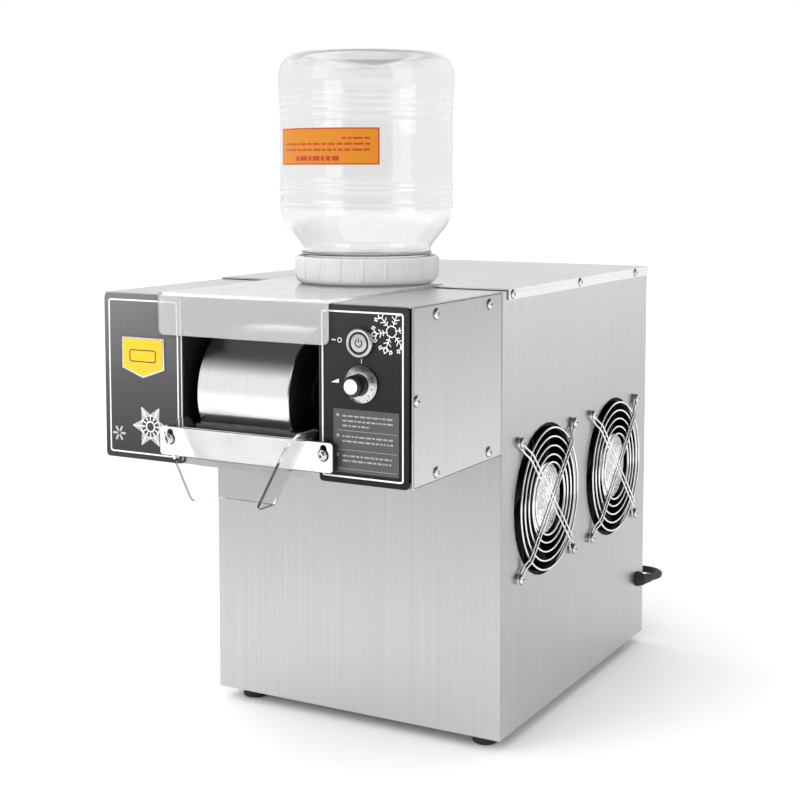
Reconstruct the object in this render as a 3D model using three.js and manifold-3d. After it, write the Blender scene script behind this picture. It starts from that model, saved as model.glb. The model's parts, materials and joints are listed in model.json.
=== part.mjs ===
// Countertop shaved ice (snow ice) machine, in millimetres, +Z up.
// A chilled drum turns in a water tray inside a head that overhangs the front of a cabinet.
// A blade behind the front bar scrapes the ice film off, and it falls down a clear chute.
// The working frame has x = 0 in the middle of the width, y = 0 on the cabinet's front face
// and z = 0 under the feet. The last lines move it so that the origin is under the middle.
import * as THREE from 'three';
import { mergeVertices } from 'three/addons/utils/BufferGeometryUtils.js';
import Module from 'manifold-3d';

const wasm = await Module();
wasm.setup();

// ---------------------------------------------------------------- driving dimensions
const GAP = 0.3;                    // left between pieces that touch
const SHEET = 1.2;                  // stainless sheet

const FOOT_HEIGHT = 10;
const CABINET_WIDTH = 256;
const CABINET_DEPTH = 312;
const CABINET_HEIGHT = 340;
const HEAD_OVERHANG = 139;          // fascia face in front of the cabinet
const HEAD_HEIGHT = 121;

const FAN_SIZE = 119;               // standard 120 mm fan
const FAN_SCREW_PITCH = 105;
const FAN_DEPTH = 25;
const FAN_CENTRES_Y = [83, 229];
const FAN_CENTRE_Z = 179.5;

const DRUM_RADIUS = 48;
const DRUM_LEFT = -47.2;
const DRUM_RIGHT = 29.8;
const DRUM_Y = -87.8;
const DRUM_Z = 278;

const OPENING_LEFT = -57.5;         // clear width between the two fascias
const OPENING_RIGHT = 57;
const LID_LEFT = -75;
const LID_RIGHT = 66;
const LID_THICKNESS = 2.5;

const BOTTLE_X = 9;
const BOTTLE_Y = 8;
const BOTTLE_RADIUS = 66.4;
const BOTTLE_HEIGHT = 174.8;         // cap included
const BOTTLE_NECK_RADIUS = 48.5;
const CAP_RADIUS = 55.4;
const CAP_HEIGHT = 21;

const BUTTON_X = 90.2;
const BUTTON_Z = 323.4;
const DIAL_Z = 295.5;
const DIAL_RADIUS = 12.6;

const CORD_DIAMETER = 6.5;

// ---------------------------------------------------------------- derived levels
const HALF = CABINET_WIDTH / 2;
const BOTTOM = FOOT_HEIGHT;
const TOP = FOOT_HEIGHT + CABINET_HEIGHT;
const HEAD_TOP = TOP - 1.5;
const HEAD_BOTTOM = HEAD_TOP - HEAD_HEIGHT;
const FASCIA_FACE = -HEAD_OVERHANG;
const FASCIA_BACK = FASCIA_FACE + 1.5;
const PANEL_FRONT = FASCIA_BACK + GAP;
const INNER = HALF - SHEET;         // inside faces of the side panels
const COVER_FRONT = 9.3;            // where the head deck ends and the top cover starts
const LID_TOP = HEAD_TOP + 2.3;
const LID_REAR = 26;
const FAN_BACK = INNER - GAP - FAN_DEPTH;

// ---------------------------------------------------------------- outlines and solids
const at = (x, y) => new THREE.Vector2(x, y);

function arc(x, y, radius, from, to, steps) {
  const points = [];
  for (let i = 0; i <= steps; i += 1) {
    const angle = THREE.MathUtils.degToRad(from + ((to - from) * i) / steps);
    points.push(at(x + radius * Math.cos(angle), y + radius * Math.sin(angle)));
  }
  return points;
}

const circle = (x, y, radius, steps = 24) => arc(x, y, radius, 0, 360, steps).slice(0, -1);

const rectangle = (x0, y0, x1, y1) => [at(x0, y0), at(x1, y0), at(x1, y1), at(x0, y1)];

function roundedRectangle(x0, y0, x1, y1, radius, steps = 4) {
  return [
    ...arc(x1 - radius, y1 - radius, radius, 0, 90, steps),
    ...arc(x0 + radius, y1 - radius, radius, 90, 180, steps),
    ...arc(x0 + radius, y0 + radius, radius, 180, 270, steps),
    ...arc(x1 - radius, y0 + radius, radius, 270, 360, steps),
  ];
}

// An extrusion of an outline with holes. Its axis is 'x' (outline in y, z), 'y' (outline in x, z)
// or 'z' (outline in x, y), and it runs from one coordinate to the other.
function extrude(axis, outline, from, to, holes = []) {
  const shape = new THREE.Shape(outline);
  shape.holes = holes.map((points) => new THREE.Path(points));
  const geometry = new THREE.ExtrudeGeometry(shape, { depth: to - from, bevelEnabled: false });
  const [x, y, z] = [new THREE.Vector3(1, 0, 0), new THREE.Vector3(0, 1, 0), new THREE.Vector3(0, 0, 1)];
  if (axis === 'x') {
    geometry.applyMatrix4(new THREE.Matrix4().makeBasis(y, z, x));
    geometry.translate(from, 0, 0);
  } else if (axis === 'y') {
    geometry.applyMatrix4(new THREE.Matrix4().makeBasis(x, z, y.clone().negate()));
    geometry.translate(0, to, 0);
  } else {
    geometry.translate(0, 0, from);
  }
  return geometry;
}

function block(x0, x1, y0, y1, z0, z1) {
  const geometry = new THREE.BoxGeometry(x1 - x0, y1 - y0, z1 - z0);
  return geometry.translate((x0 + x1) / 2, (y0 + y1) / 2, (z0 + z1) / 2);
}

// A solid of revolution. Profile points are [radius, distance along the axis].
function revolve(axis, profile, centre, steps = 32) {
  const geometry = new THREE.LatheGeometry(profile.map(([r, d]) => at(r, d)), steps);
  if (axis === 'x') geometry.rotateZ(-Math.PI / 2);
  if (axis === 'z') geometry.rotateX(Math.PI / 2);
  return geometry.translate(...centre);
}

// A tube with a round section along a smooth curve through the points.
function tube(points, radius, sides, steps) {
  const route = points.map((p) => new THREE.Vector3(...p));
  const curve = new THREE.CatmullRomCurve3(route, false, 'centripetal');
  const section = new THREE.Shape(circle(0, 0, radius, sides));
  return new THREE.ExtrudeGeometry(section, { extrudePath: curve, steps });
}

// One closed surface with shared corners, faces outwards, and no collapsed triangles.
function weld(geometry) {
  const bare = geometry.clone();
  for (const name of Object.keys(bare.attributes)) {
    if (name !== 'position') bare.deleteAttribute(name);
  }
  const merged = mergeVertices(bare, 1e-3);
  const { array } = merged.index;
  const corner = (i) => new THREE.Vector3().fromBufferAttribute(merged.attributes.position, i);
  const kept = [];
  let volume = 0;
  for (let i = 0; i < array.length; i += 3) {
    const [a, b, c] = [array[i], array[i + 1], array[i + 2]];
    if (a !== b && b !== c && c !== a) {
      kept.push(a, b, c);
      volume += corner(a).dot(corner(b).cross(corner(c)));
    }
  }
  if (volume < 0) kept.reverse();
  merged.setIndex(kept);
  return merged;
}

function toSolid(geometry) {
  const welded = weld(geometry);
  return new wasm.Manifold(new wasm.Mesh({
    numProp: 3,
    vertProperties: new Float32Array(welded.attributes.position.array),
    triVerts: new Uint32Array(welded.index.array),
  }));
}

function toGeometry(solid) {
  const { vertProperties, triVerts } = solid.getMesh();
  const geometry = new THREE.BufferGeometry();
  geometry.setAttribute('position', new THREE.BufferAttribute(vertProperties, 3));
  geometry.setIndex(new THREE.BufferAttribute(triVerts, 1));
  return geometry;
}

const cut = (from, ...tools) => toGeometry(
  tools.reduce((solid, tool) => solid.subtract(toSolid(tool)), toSolid(from)),
);

const join = (first, ...others) => toGeometry(
  others.reduce((solid, other) => solid.add(toSolid(other)), toSolid(first)),
);

// ---------------------------------------------------------------- materials
const finish = (color, roughness, metalness) => ({ color, roughness, metalness });
const STAINLESS = finish(0xc9c9c7, 0.34, 0.9);
const MIRROR_STEEL = finish(0xd8d8d8, 0.16, 1);
const DARK_STEEL = finish(0x4a4a4a, 0.4, 0.8);
const BRASS = finish(0xb08d57, 0.35, 0.9);
const COPPER = finish(0xb36b45, 0.35, 0.9);
const BLACK_PLASTIC = finish(0x101010, 0.5, 0);
const BLACK_GLOSS = finish(0x2c2c2e, 0.25, 0);
const BLACK_RUBBER = finish(0x0b0b0b, 0.8, 0);
const BLACK_PAINT = finish(0x171717, 0.5, 0.1);
const WHITE_PLASTIC = finish(0xf1f1ef, 0.4, 0);
const ALUMINIUM = finish(0xc6c8ca, 0.4, 0.9);
const CLEAR = finish(0xe6eaec, 0.1, 0);
const FROSTED = finish(0xe4e7e8, 0.4, 0);
const CIRCUIT = finish(0x1f5a33, 0.5, 0);

const machine = new THREE.Group();

function piece(name, geometry, look, parent = machine) {
  const mesh = new THREE.Mesh(weld(geometry), new THREE.MeshStandardMaterial(look));
  mesh.name = name;
  parent.add(mesh);
  return mesh;
}

// ---------------------------------------------------------------- cabinet
const GLAND_Y = 298;
const GLAND_Z = 62.2;
const fanScrews = (y) => [[-1, -1], [1, -1], [1, 1], [-1, 1]].map(
  ([a, b]) => [y + (a * FAN_SCREW_PITCH) / 2, FAN_CENTRE_Z + (b * FAN_SCREW_PITCH) / 2],
);

// A column of long round-ended vent slots, centred on u, as hole outlines.
function slots(u, length, width, lowest, pitch, count) {
  const outlines = [];
  for (let i = 0; i < count; i += 1) {
    const v = lowest + i * pitch;
    outlines.push(roundedRectangle(u - length / 2, v, u + length / 2, v + width, width / 2 - 0.01, 2));
  }
  return outlines;
}

function basePan() {
  const [front, rear] = [SHEET + GAP, CABINET_DEPTH - SHEET - GAP];
  const floor = block(-INNER + GAP, INNER - GAP, front, rear, BOTTOM, BOTTOM + 14);
  const inside = block(-INNER + 1.5, INNER - 1.5, front + SHEET, rear - SHEET, BOTTOM + SHEET, BOTTOM + 20);
  return cut(floor, inside);
}

function rightPanel() {
  const holes = FAN_CENTRES_Y.map((y) => circle(y, FAN_CENTRE_Z, 60, 36));
  for (const y of FAN_CENTRES_Y) holes.push(...fanScrews(y).map(([u, v]) => circle(u, v, 2.3, 8)));
  holes.push(circle(GLAND_Y, GLAND_Z, 6.5, 16));
  const outline = rectangle(SHEET + GAP, BOTTOM, CABINET_DEPTH, TOP - SHEET - GAP);
  return extrude('x', outline, INNER, HALF, holes);
}

function leftPanel() {
  const outline = rectangle(SHEET + GAP, BOTTOM, CABINET_DEPTH, TOP - SHEET - GAP);
  return extrude('x', outline, -HALF, -INNER, slots(CABINET_DEPTH / 2, 150, 6, 70, 16, 8));
}

function rearPanel() {
  const outline = rectangle(-INNER + GAP, BOTTOM, INNER - GAP, TOP - SHEET - GAP);
  return extrude('y', outline, CABINET_DEPTH - SHEET, CABINET_DEPTH, slots(0, 150, 6, 120, 16, 8));
}

function topCover() {
  const flange = 8.2;
  const outer = HALF + GAP + 1;
  const channel = [
    at(-outer, TOP), at(-outer, TOP - flange), at(-outer + 1, TOP - flange), at(-outer + 1, TOP - SHEET),
    at(outer - 1, TOP - SHEET), at(outer - 1, TOP - flange), at(outer, TOP - flange), at(outer, TOP),
  ];
  const notch = block(LID_LEFT - 1, LID_RIGHT + 1, 0, LID_REAR + 1, TOP - 5, TOP + 5);
  return cut(extrude('y', channel, COVER_FRONT, CABINET_DEPTH), notch);
}

piece('base_pan', basePan(), STAINLESS);
piece('cabinet_front_panel', block(-HALF, HALF, 0, SHEET, BOTTOM, HEAD_BOTTOM - GAP), STAINLESS);
piece('cabinet_right_panel', rightPanel(), STAINLESS);
piece('cabinet_left_panel', leftPanel(), STAINLESS);
piece('cabinet_rear_panel', rearPanel(), STAINLESS);
piece('top_cover', topCover(), STAINLESS);

for (const [side, x] of [['left', -HALF + 21.5], ['right', HALF - 21.5]]) {
  for (const [end, y] of [['front', 20], ['rear', CABINET_DEPTH - 20]]) {
    const profile = [[0, 0], [9.2, 0], [10, 1.2], [9, FOOT_HEIGHT - GAP], [0, FOOT_HEIGHT - GAP]];
    piece(`foot_${end}_${side}`, revolve('z', profile, [x, y, 0], 20), BLACK_RUBBER);
  }
}

// ---------------------------------------------------------------- head
function headSide(side) {
  const outline = rectangle(PANEL_FRONT, HEAD_BOTTOM, SHEET, HEAD_TOP);
  return side < 0 ? extrude('x', outline, -HALF, -INNER) : extrude('x', outline, INNER, HALF);
}

function headFloor() {
  const lip = 5;
  const front = PANEL_FRONT;
  const sheet = block(-INNER + GAP, INNER - GAP, front, SHEET, HEAD_BOTTOM, HEAD_BOTTOM + SHEET);
  const upturn = block(-INNER + GAP, INNER - GAP, front, front + SHEET, HEAD_BOTTOM, HEAD_BOTTOM + lip);
  const trayHole = block(-57, 55, -133, -31, HEAD_BOTTOM - 1, HEAD_BOTTOM + 2);
  return cut(join(sheet, upturn), trayHole);
}

const HOSE_Z = 252;

function chamber() {
  const [left, right, front, rear, wall] = [OPENING_LEFT - GAP, OPENING_RIGHT + GAP, -135.5, -20, 1.7];
  const plan = [
    at(left - wall, front), at(left, front), at(left, rear - wall), at(right, rear - wall), at(right, front),
    at(right + wall, front), at(right + wall, rear), at(left - wall, rear),
  ];
  const walls = extrude('z', plan, HEAD_BOTTOM + SHEET + GAP, LID_TOP - LID_THICKNESS - GAP);
  const bearingHoles = revolve('x', [[0, -80], [13.1, -80], [13.1, 80], [0, 80]], [0, DRUM_Y, DRUM_Z], 24);
  const hoseHole = revolve('y', [[0, -30], [5.5, -30], [5.5, -10], [0, -10]], [BOTTLE_X, 0, HOSE_Z], 16);
  return cut(walls, bearingHoles, hoseHole);
}

function waterTray() {
  const bath = DRUM_RADIUS + 1.5;
  const bottom = HEAD_BOTTOM - 0.8;
  const rear = arc(DRUM_Y, DRUM_Z, bath, -18.4, -18.4, 1)[0].y;
  const front = arc(DRUM_Y, DRUM_Z, bath, -141, -141, 1)[0].y;
  const profile = [
    at(-131.5, bottom), at(-32.5, bottom), at(-32.5, rear),
    ...arc(DRUM_Y, DRUM_Z, bath, -18.4, -141, 18), at(-131.5, front),
  ];
  const trough = extrude('x', profile, -55.5, 53.5);
  const endWalls = [[-55.5, -53], [51, 53.5]].map(
    ([x0, x1]) => block(x0, x1, -128, -34, HEAD_BOTTOM + GAP, 246),
  );
  return join(trough, ...endWalls);
}

piece('head_right_panel', headSide(1), STAINLESS);
piece('head_left_panel', headSide(-1), STAINLESS);
piece('head_floor', headFloor(), STAINLESS);
const deck = (x0, x1) => block(x0, x1, PANEL_FRONT, COVER_FRONT - GAP, HEAD_TOP - SHEET, HEAD_TOP);
piece('head_deck_left', deck(-INNER + GAP, LID_LEFT - 0.8), STAINLESS);
piece('head_deck_right', deck(LID_RIGHT + 0.8, INNER - GAP), STAINLESS);

const fasciaBottom = HEAD_BOTTOM;
const fasciaTop = HEAD_TOP - 0.5;
const fasciaOutline = (x0, x1) => roundedRectangle(x0, fasciaBottom, x1, fasciaTop, 3);
const controlHoles = [circle(BUTTON_X, BUTTON_Z, 8.3), circle(BUTTON_X, DIAL_Z, 3.9, 16)];
piece('fascia_left', extrude(
  'y', fasciaOutline(-HALF + 0.3, OPENING_LEFT), FASCIA_FACE, FASCIA_BACK,
), BLACK_GLOSS);
piece('fascia_right', extrude(
  'y', fasciaOutline(OPENING_RIGHT, HALF - 2), FASCIA_FACE, FASCIA_BACK, controlHoles,
), BLACK_GLOSS);
piece('evaporator_chamber', chamber(), BLACK_PLASTIC);
piece('water_tray', waterTray(), BLACK_PLASTIC);

// ---------------------------------------------------------------- drum and its drive
const SHAFT_RADIUS = 8;
const drumAxis = [0, DRUM_Y, DRUM_Z];

function drumShell() {
  const wall = 3;
  const web = DRUM_RIGHT - 3;
  return revolve('x', [
    [DRUM_RADIUS, DRUM_LEFT], [DRUM_RADIUS, DRUM_RIGHT - 0.6], [DRUM_RADIUS - 0.6, DRUM_RIGHT],
    [SHAFT_RADIUS + GAP, DRUM_RIGHT], [SHAFT_RADIUS + GAP, web - 8], [SHAFT_RADIUS + 5, web - 8],
    [SHAFT_RADIUS + 5, web], [DRUM_RADIUS - wall, web], [DRUM_RADIUS - wall, DRUM_LEFT],
    [DRUM_RADIUS, DRUM_LEFT],
  ], drumAxis, 36);
}

function bearing(side) {
  const bore = SHAFT_RADIUS + 0.6;
  const wallFace = side < 0 ? OPENING_LEFT - 2 : OPENING_RIGHT + 2;
  const [inside, flange, outside] = [wallFace - side * 3, wallFace + side * GAP, wallFace + side * 7];
  return revolve('x', [
    [bore, inside], [12.7, inside], [12.7, flange], [17, flange], [17, outside], [bore, outside],
    [bore, inside],
  ], drumAxis, 24);
}

function rotaryJoint() {
  const bore = SHAFT_RADIUS + 0.6;
  return revolve('x', [
    [0, -94], [14, -94], [16, -92], [16, -70.5], [bore, -70.5], [bore, -85], [0, -85],
  ], drumAxis, 24);
}

// The coupling carries the gear motor's output stub, so both turn with the drum.
function coupling() {
  return revolve('x', [
    [0, 99], [5, 99], [5, 87], [13, 87], [13, 68], [SHAFT_RADIUS + GAP, 68], [SHAFT_RADIUS + GAP, 75.5],
    [0, 75.5],
  ], drumAxis, 20);
}

function gearMotor() {
  return revolve('x', [
    [0, 124], [27, 124], [27, 104], [30, 104], [30, 89], [5.8, 89], [5.8, 100], [0, 100],
  ], drumAxis, 24);
}

piece('freezing_drum', drumShell(), MIRROR_STEEL);
piece('drum_shaft', revolve('x', [
  [0, -83], [SHAFT_RADIUS, -83], [SHAFT_RADIUS, 75], [0, 75],
], drumAxis, 24), MIRROR_STEEL);
piece('motor_coupling', coupling(), ALUMINIUM);
piece('drum_bearing_left', bearing(-1), WHITE_PLASTIC);
piece('drum_bearing_right', bearing(1), WHITE_PLASTIC);
piece('refrigerant_rotary_joint', rotaryJoint(), BRASS);
piece('gear_motor', gearMotor(), BLACK_PAINT);

// ---------------------------------------------------------------- refrigeration
const COMPRESSOR = [-52, 176];

function compressor() {
  const profile = [
    [0, 18], [40, 18], [47, 24], [50, 34], [50, 118], [47, 132], [38, 144], [22, 150], [0, 152],
  ];
  const shell = revolve('z', profile, [...COMPRESSOR, 0], 28);
  const plate = block(-112, 8, 126, 226, 15.5, 18.5);
  const legs = [[-104, 134], [0, 134], [-104, 218], [0, 218]].map(
    ([x, y]) => revolve('z', [[0, 11.6], [6, 11.6], [6, 17], [0, 17]], [x, y, 0], 12),
  );
  return join(shell, plate, ...legs);
}

function condenserFins() {
  const [spine, back, tip] = [66, 69, 97];
  const [first, pitch, thickness, count] = [24, 8, 1.2, 34];
  const comb = [at(spine, first), at(spine, first + pitch * (count - 1) + thickness)];
  for (let i = count - 1; i >= 0; i -= 1) {
    const y = first + i * pitch;
    comb.push(at(tip, y + thickness), at(tip, y));
    if (i > 0) comb.push(at(back, y), at(back, y - pitch + thickness));
  }
  return extrude('z', comb.reverse(), 112, 247);
}

// One copper tube: from the compressor's outlet, then to and fro across the back of the fins.
function condenserCoil() {
  const [near, far, x] = [32, 282, 61];
  const route = [[0.5, 200, 104], [14, 214, 106], [34, 250, 110], [50, 274, 116], [x, far, 124]];
  for (let row = 0; row < 6; row += 1) {
    const z = 124 + row * 22;
    const [start, end] = row % 2 === 0 ? [far, near] : [near, far];
    const inward = start > end ? -14 : 14;
    if (row > 0) route.push([x, start, z]);
    route.push([x, start + inward, z], [x, end - inward, z], [x, end, z]);
  }
  return tube(route, 3.5, 6, 64);
}

piece('compressor', compressor(), BLACK_PAINT);
piece('condenser_fins', condenserFins(), ALUMINIUM);
piece('condenser_coil', condenserCoil(), COPPER);
piece('suction_pipe', tube([
  [-98.5, DRUM_Y, DRUM_Z], [-106, DRUM_Y + 10, DRUM_Z], [-110, -50, 275], [-108, 10, 262], [-106, 80, 230],
  [-106, 120, 180], [-106, 140, 140], [-104.5, 158, 106],
], 4, 6, 26), COPPER);
piece('liquid_line_with_drier', join(
  tube([[61, 300, 234], [50, 300, 244], [20, 240, 256], [-6, 150, 261], [-9, 100, 261.5], [-9, 20, 261.5],
    [-22, -4, 261.5], [-54, -12, 261], [-82, -24, 256], [-87, -50, 248], [-84, DRUM_Y + 8, 247],
    [-84, DRUM_Y + 0.4, 253], [-84, DRUM_Y, 261.2]], 3, 6, 36),
  revolve('y', [[0, 30], [6, 30], [9, 36], [9, 84], [6, 90], [0, 90]], [-9, 0, 261.5], 12),
), COPPER);

// ---------------------------------------------------------------- fans
function fanFrame(y) {
  const half = FAN_SIZE / 2;
  const z = FAN_CENTRE_Z;
  const outline = roundedRectangle(y - half, z - half, y + half, z + half, 5, 3);
  const holes = [circle(y, z, 57.3, 36), ...fanScrews(y).map(([u, v]) => circle(u, v, 2.3, 8))];
  const frame = extrude('x', outline, FAN_BACK, FAN_BACK + FAN_DEPTH, holes);
  const motor = revolve('x', [
    [0, FAN_BACK], [22, FAN_BACK], [22, FAN_BACK + 4], [0, FAN_BACK + 4],
  ], [0, y, z], 24);
  const struts = [30, 120, 210, 300].map((angle) => {
    const strut = block(FAN_BACK, FAN_BACK + 3, 20, 58.2, -2, 2);
    return strut.rotateX(THREE.MathUtils.degToRad(angle)).translate(0, y, z);
  });
  return join(frame, motor, ...struts);
}

function impeller(y) {
  const [hubRadius, tipRadius, from, to] = [29, 55, FAN_BACK + 5, HALF - 0.2];
  const hub = revolve('x', [[0, from], [hubRadius, from], [hubRadius, to - 1], [hubRadius - 1, to], [0, to]],
    [0, 0, 0], 24);
  const blades = [];
  for (let i = 0; i < 7; i += 1) {
    const blade = block(-9.5, 9.5, hubRadius - 3, tipRadius, -0.9, 0.9);
    blade.rotateY(THREE.MathUtils.degToRad(38));
    blade.translate(FAN_BACK + 14, 0, 0);
    blade.rotateX((i * 2 * Math.PI) / 7);
    blades.push(blade);
  }
  return join(hub, ...blades).translate(0, y, FAN_CENTRE_Z);
}

// One arm of the guard: a long wire loop from screw to screw, kinked down to the panel at both ends.
function guardArm(angle) {
  const [screw, bend, drop] = [(FAN_SCREW_PITCH / 2) * Math.SQRT2, 58, 66];
  const [high, low, half] = [5, 1.7, 2.4];
  const turn = (radius) => arc(screw, 0, radius, -90, 90, 6).map((p) => [low, p.x, p.y]);
  const route = [
    [high, 0.4, -half], [high, bend, -half], [low, drop, -half], ...turn(3.4),
    [low, drop, half], [high, bend, half], [high, 0, half], [high, -bend, half], [low, -drop, half],
    ...turn(3.4).map(([x, u, v]) => [x, -u, -v]),
    [low, -drop, -half], [high, -bend, -half], [high, -0.4, -half],
  ];
  const arm = tube(route, 1, 4, 30);
  return arm.rotateX(THREE.MathUtils.degToRad(angle));
}

function guard(y) {
  const rings = [56, 49, 41.8, 34.8, 28.6].map((radius) => {
    const ring = new THREE.TorusGeometry(radius, 0.9, 4, 20);
    return ring.rotateY(Math.PI / 2).translate(4.1, 0, 0);
  });
  const [outer, ...inner] = rings;
  return join(outer, guardArm(45), guardArm(-45), ...inner).translate(HALF, y, FAN_CENTRE_Z);
}

for (const [name, y] of [['front', FAN_CENTRES_Y[0]], ['rear', FAN_CENTRES_Y[1]]]) {
  piece(`${name}_fan_frame`, fanFrame(y), BLACK_PLASTIC);
  piece(`${name}_fan_impeller`, impeller(y), BLACK_PLASTIC);
  piece(`${name}_fan_guard`, guard(y), MIRROR_STEEL);
}

// ---------------------------------------------------------------- controls
// A solid of revolution on the control panel. Profile distances grow out of the panel's face.
function control(profile, z, steps) {
  return revolve('y', profile, [0, 0, 0], steps).rotateX(Math.PI).translate(BUTTON_X, FASCIA_FACE, z);
}

piece('button_housing', control([
  [0, -24], [8, -24], [8, GAP], [9.9, GAP], [9.9, 3.4], [9.2, 4.2], [7.9, 4.2], [7.4, 3.6], [7.4, -12],
  [0, -12],
], BUTTON_Z, 24), ALUMINIUM);
piece('power_button', control([
  [0, -8], [6.6, -8], [6.6, 3.4], [6, 4], [0, 4],
], BUTTON_Z, 20), ALUMINIUM);
piece('dial_skirt', control([
  [7.6, 0.8], [DIAL_RADIUS, 0.8], [DIAL_RADIUS, 1.8], [7.6, 4.2], [7.6, 0.8],
], DIAL_Z, 28), ALUMINIUM);
// The knob is pressed on its potentiometer's shaft, and they are one solid.
piece('speed_knob', control([
  [0, -8], [3, -8], [3, 0.8], [7.3, 0.8], [7.3, 13], [6.4, 14], [2.7, 14], [2.7, 12.4], [0, 12.4],
], DIAL_Z, 24), BLACK_PLASTIC);
piece('knob_cap', control([
  [0, 13], [2.4, 13], [2.4, 14.3], [5, 14.3], [4.6, 15], [0, 15],
], DIAL_Z, 24), WHITE_PLASTIC);
piece('potentiometer_body', control([
  [0, -20], [11, -20], [11, -4], [3.6, -4], [3.6, -8.5], [0, -8.5],
], DIAL_Z, 20), ALUMINIUM);
piece('control_board', block(64, 122, -48, -46.4, 240, 335), CIRCUIT);

// ---------------------------------------------------------------- scraper and chute
const BAR_FRONT = FASCIA_FACE - 7.3;
const BAR_BACK = FASCIA_FACE - 1.3;
const BAR_BOTTOM = 234.8;
const BAR_TOP = 255;
const STUDS = [-64, 64.4];
const STUD_Z = 246.6;

function scraperBar() {
  const keyhole = (x) => [
    ...arc(x, STUD_Z + 4.6, 1.9, 0, 180, 5), ...arc(x, STUD_Z, 3.6, 122, 418, 12),
  ];
  const outline = roundedRectangle(-72.4, BAR_BOTTOM, 71.8, BAR_TOP, 2.5, 3);
  return extrude('y', outline, BAR_FRONT, BAR_BACK, STUDS.map(keyhole));
}

function scraperBlade() {
  const profile = [
    at(BAR_BACK + GAP, 244), at(BAR_BACK + 3, 244), at(BAR_BACK + 3, 254), at(-133.2, 258.2),
    at(-132.4, 259), at(BAR_BACK + GAP, 258.4),
  ];
  return extrude('x', profile, -45.5, 45.5);
}

function stud(x) {
  const face = BAR_FRONT;
  return revolve('y', [
    [0, face - 2.6], [2.6, face - 2.6], [3, face - 2.2], [3, face - 0.7], [4.6, face - 0.6],
    [4.6, face - GAP], [1.6, face - GAP], [1.6, FASCIA_FACE - GAP], [0, FASCIA_FACE - GAP],
  ], [x, 0, STUD_Z], 16);
}

function chute() {
  const [plateFace, plateBack] = [BAR_FRONT - 3.2, BAR_FRONT - 1.2];
  const [top, bottom] = [256.4, 209.5];
  const edges = [[-27.5, -51.5], [26, 51]];       // each slanted side: x at the bottom, x at the top
  const plan = [at(edges[0][0], bottom), at(edges[1][0], bottom), at(edges[1][1], top), at(edges[0][1], top)];
  const plate = extrude('y', plan, plateFace, plateBack);
  const reach = BAR_FRONT - 23;
  const wings = edges.map(([bottomX, topX]) => {
    const tilt = Math.atan2(topX - bottomX, top - bottom);
    const overBar = (BAR_TOP + 0.9 - bottom) / Math.cos(tilt);
    const hook = [FASCIA_FACE + 1, FASCIA_FACE + 3.2];
    const outline = [
      ...arc(reach + 4, 4, 4, 180, 270, 4), at(plateBack, 0), at(plateBack, overBar), at(hook[0], overBar),
      at(hook[0], overBar - 8), at(hook[1], overBar - 8), ...arc(hook[1] - 4, overBar + 3, 4, 0, 90, 4),
      ...arc(reach + 14, overBar - 7, 14, 90, 180, 6),
    ];
    return extrude('x', outline, -1, 1).rotateY(tilt).translate(bottomX, 0, bottom);
  });
  return join(plate, ...wings);
}

piece('scraper_bar', scraperBar(), WHITE_PLASTIC);
piece('scraper_blade', scraperBlade(), DARK_STEEL);
piece('scraper_stud_left', stud(STUDS[0]), ALUMINIUM);
piece('scraper_stud_right', stud(STUDS[1]), ALUMINIUM);
piece('ice_chute', chute(), CLEAR);

// ---------------------------------------------------------------- lid, water feed and bottle
const NOZZLE_RADIUS = 12;

function lid() {
  const face = FASCIA_FACE - 4.3;
  const under = LID_TOP - LID_THICKNESS;
  const profile = [
    at(face, 320.5), at(face + LID_THICKNESS, 320.5), at(face + LID_THICKNESS, under), at(LID_REAR, under),
    at(LID_REAR, LID_TOP), ...arc(face + 1.5, LID_TOP - 1.5, 1.5, 90, 180, 3),
  ];
  const angle = extrude('x', profile, LID_LEFT, LID_RIGHT);
  const hole = extrude('z', circle(BOTTLE_X, BOTTLE_Y, NOZZLE_RADIUS + 3, 24), under - 5, LID_TOP + 5);
  const corner = (x, side) => {
    const outline = [
      at(x, 320), at(x - side * 4, 320), ...arc(x - side * 4, 324.5, 4, 270, 270 + side * 90, 4).slice(1),
    ];
    return extrude('y', side > 0 ? outline : outline.reverse(), face - 1, face + 5);
  };
  return cut(angle, hole, corner(LID_RIGHT, 1), corner(LID_LEFT, -1));
}

function inletCup() {
  return revolve('z', [
    [4, 306], [4, 318], [20, 322], [20, 346], [18, 346], [18, 324], [2.5, 320.6], [2.5, 306], [4, 306],
  ], [BOTTLE_X, BOTTLE_Y, 0], 20);
}

function bottleCap() {
  const base = LID_TOP + GAP;
  const wallInside = BOTTLE_NECK_RADIUS + 3.2;
  const guide = 6.2;
  return revolve('z', [
    [guide, base - 12], [NOZZLE_RADIUS, base - 12], [NOZZLE_RADIUS, base], [CAP_RADIUS - 5, base],
    [CAP_RADIUS, base + 4], [CAP_RADIUS, base + CAP_HEIGHT], [wallInside, base + CAP_HEIGHT],
    [wallInside, base + 2], [NOZZLE_RADIUS, base + 2],
    [NOZZLE_RADIUS, base + 6], [guide, base + 6], [guide, base - 12],
  ], [BOTTLE_X, BOTTLE_Y, 0], 28);
}

function valvePlunger() {
  const base = LID_TOP + GAP;
  return revolve('z', [
    [0, base - 14], [4, base - 14], [4, base + 6 + GAP], [9, base + 6 + GAP], [9, base + 8.5],
    [0, base + 9.5],
  ], [BOTTLE_X, BOTTLE_Y, 0], 20);
}

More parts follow.
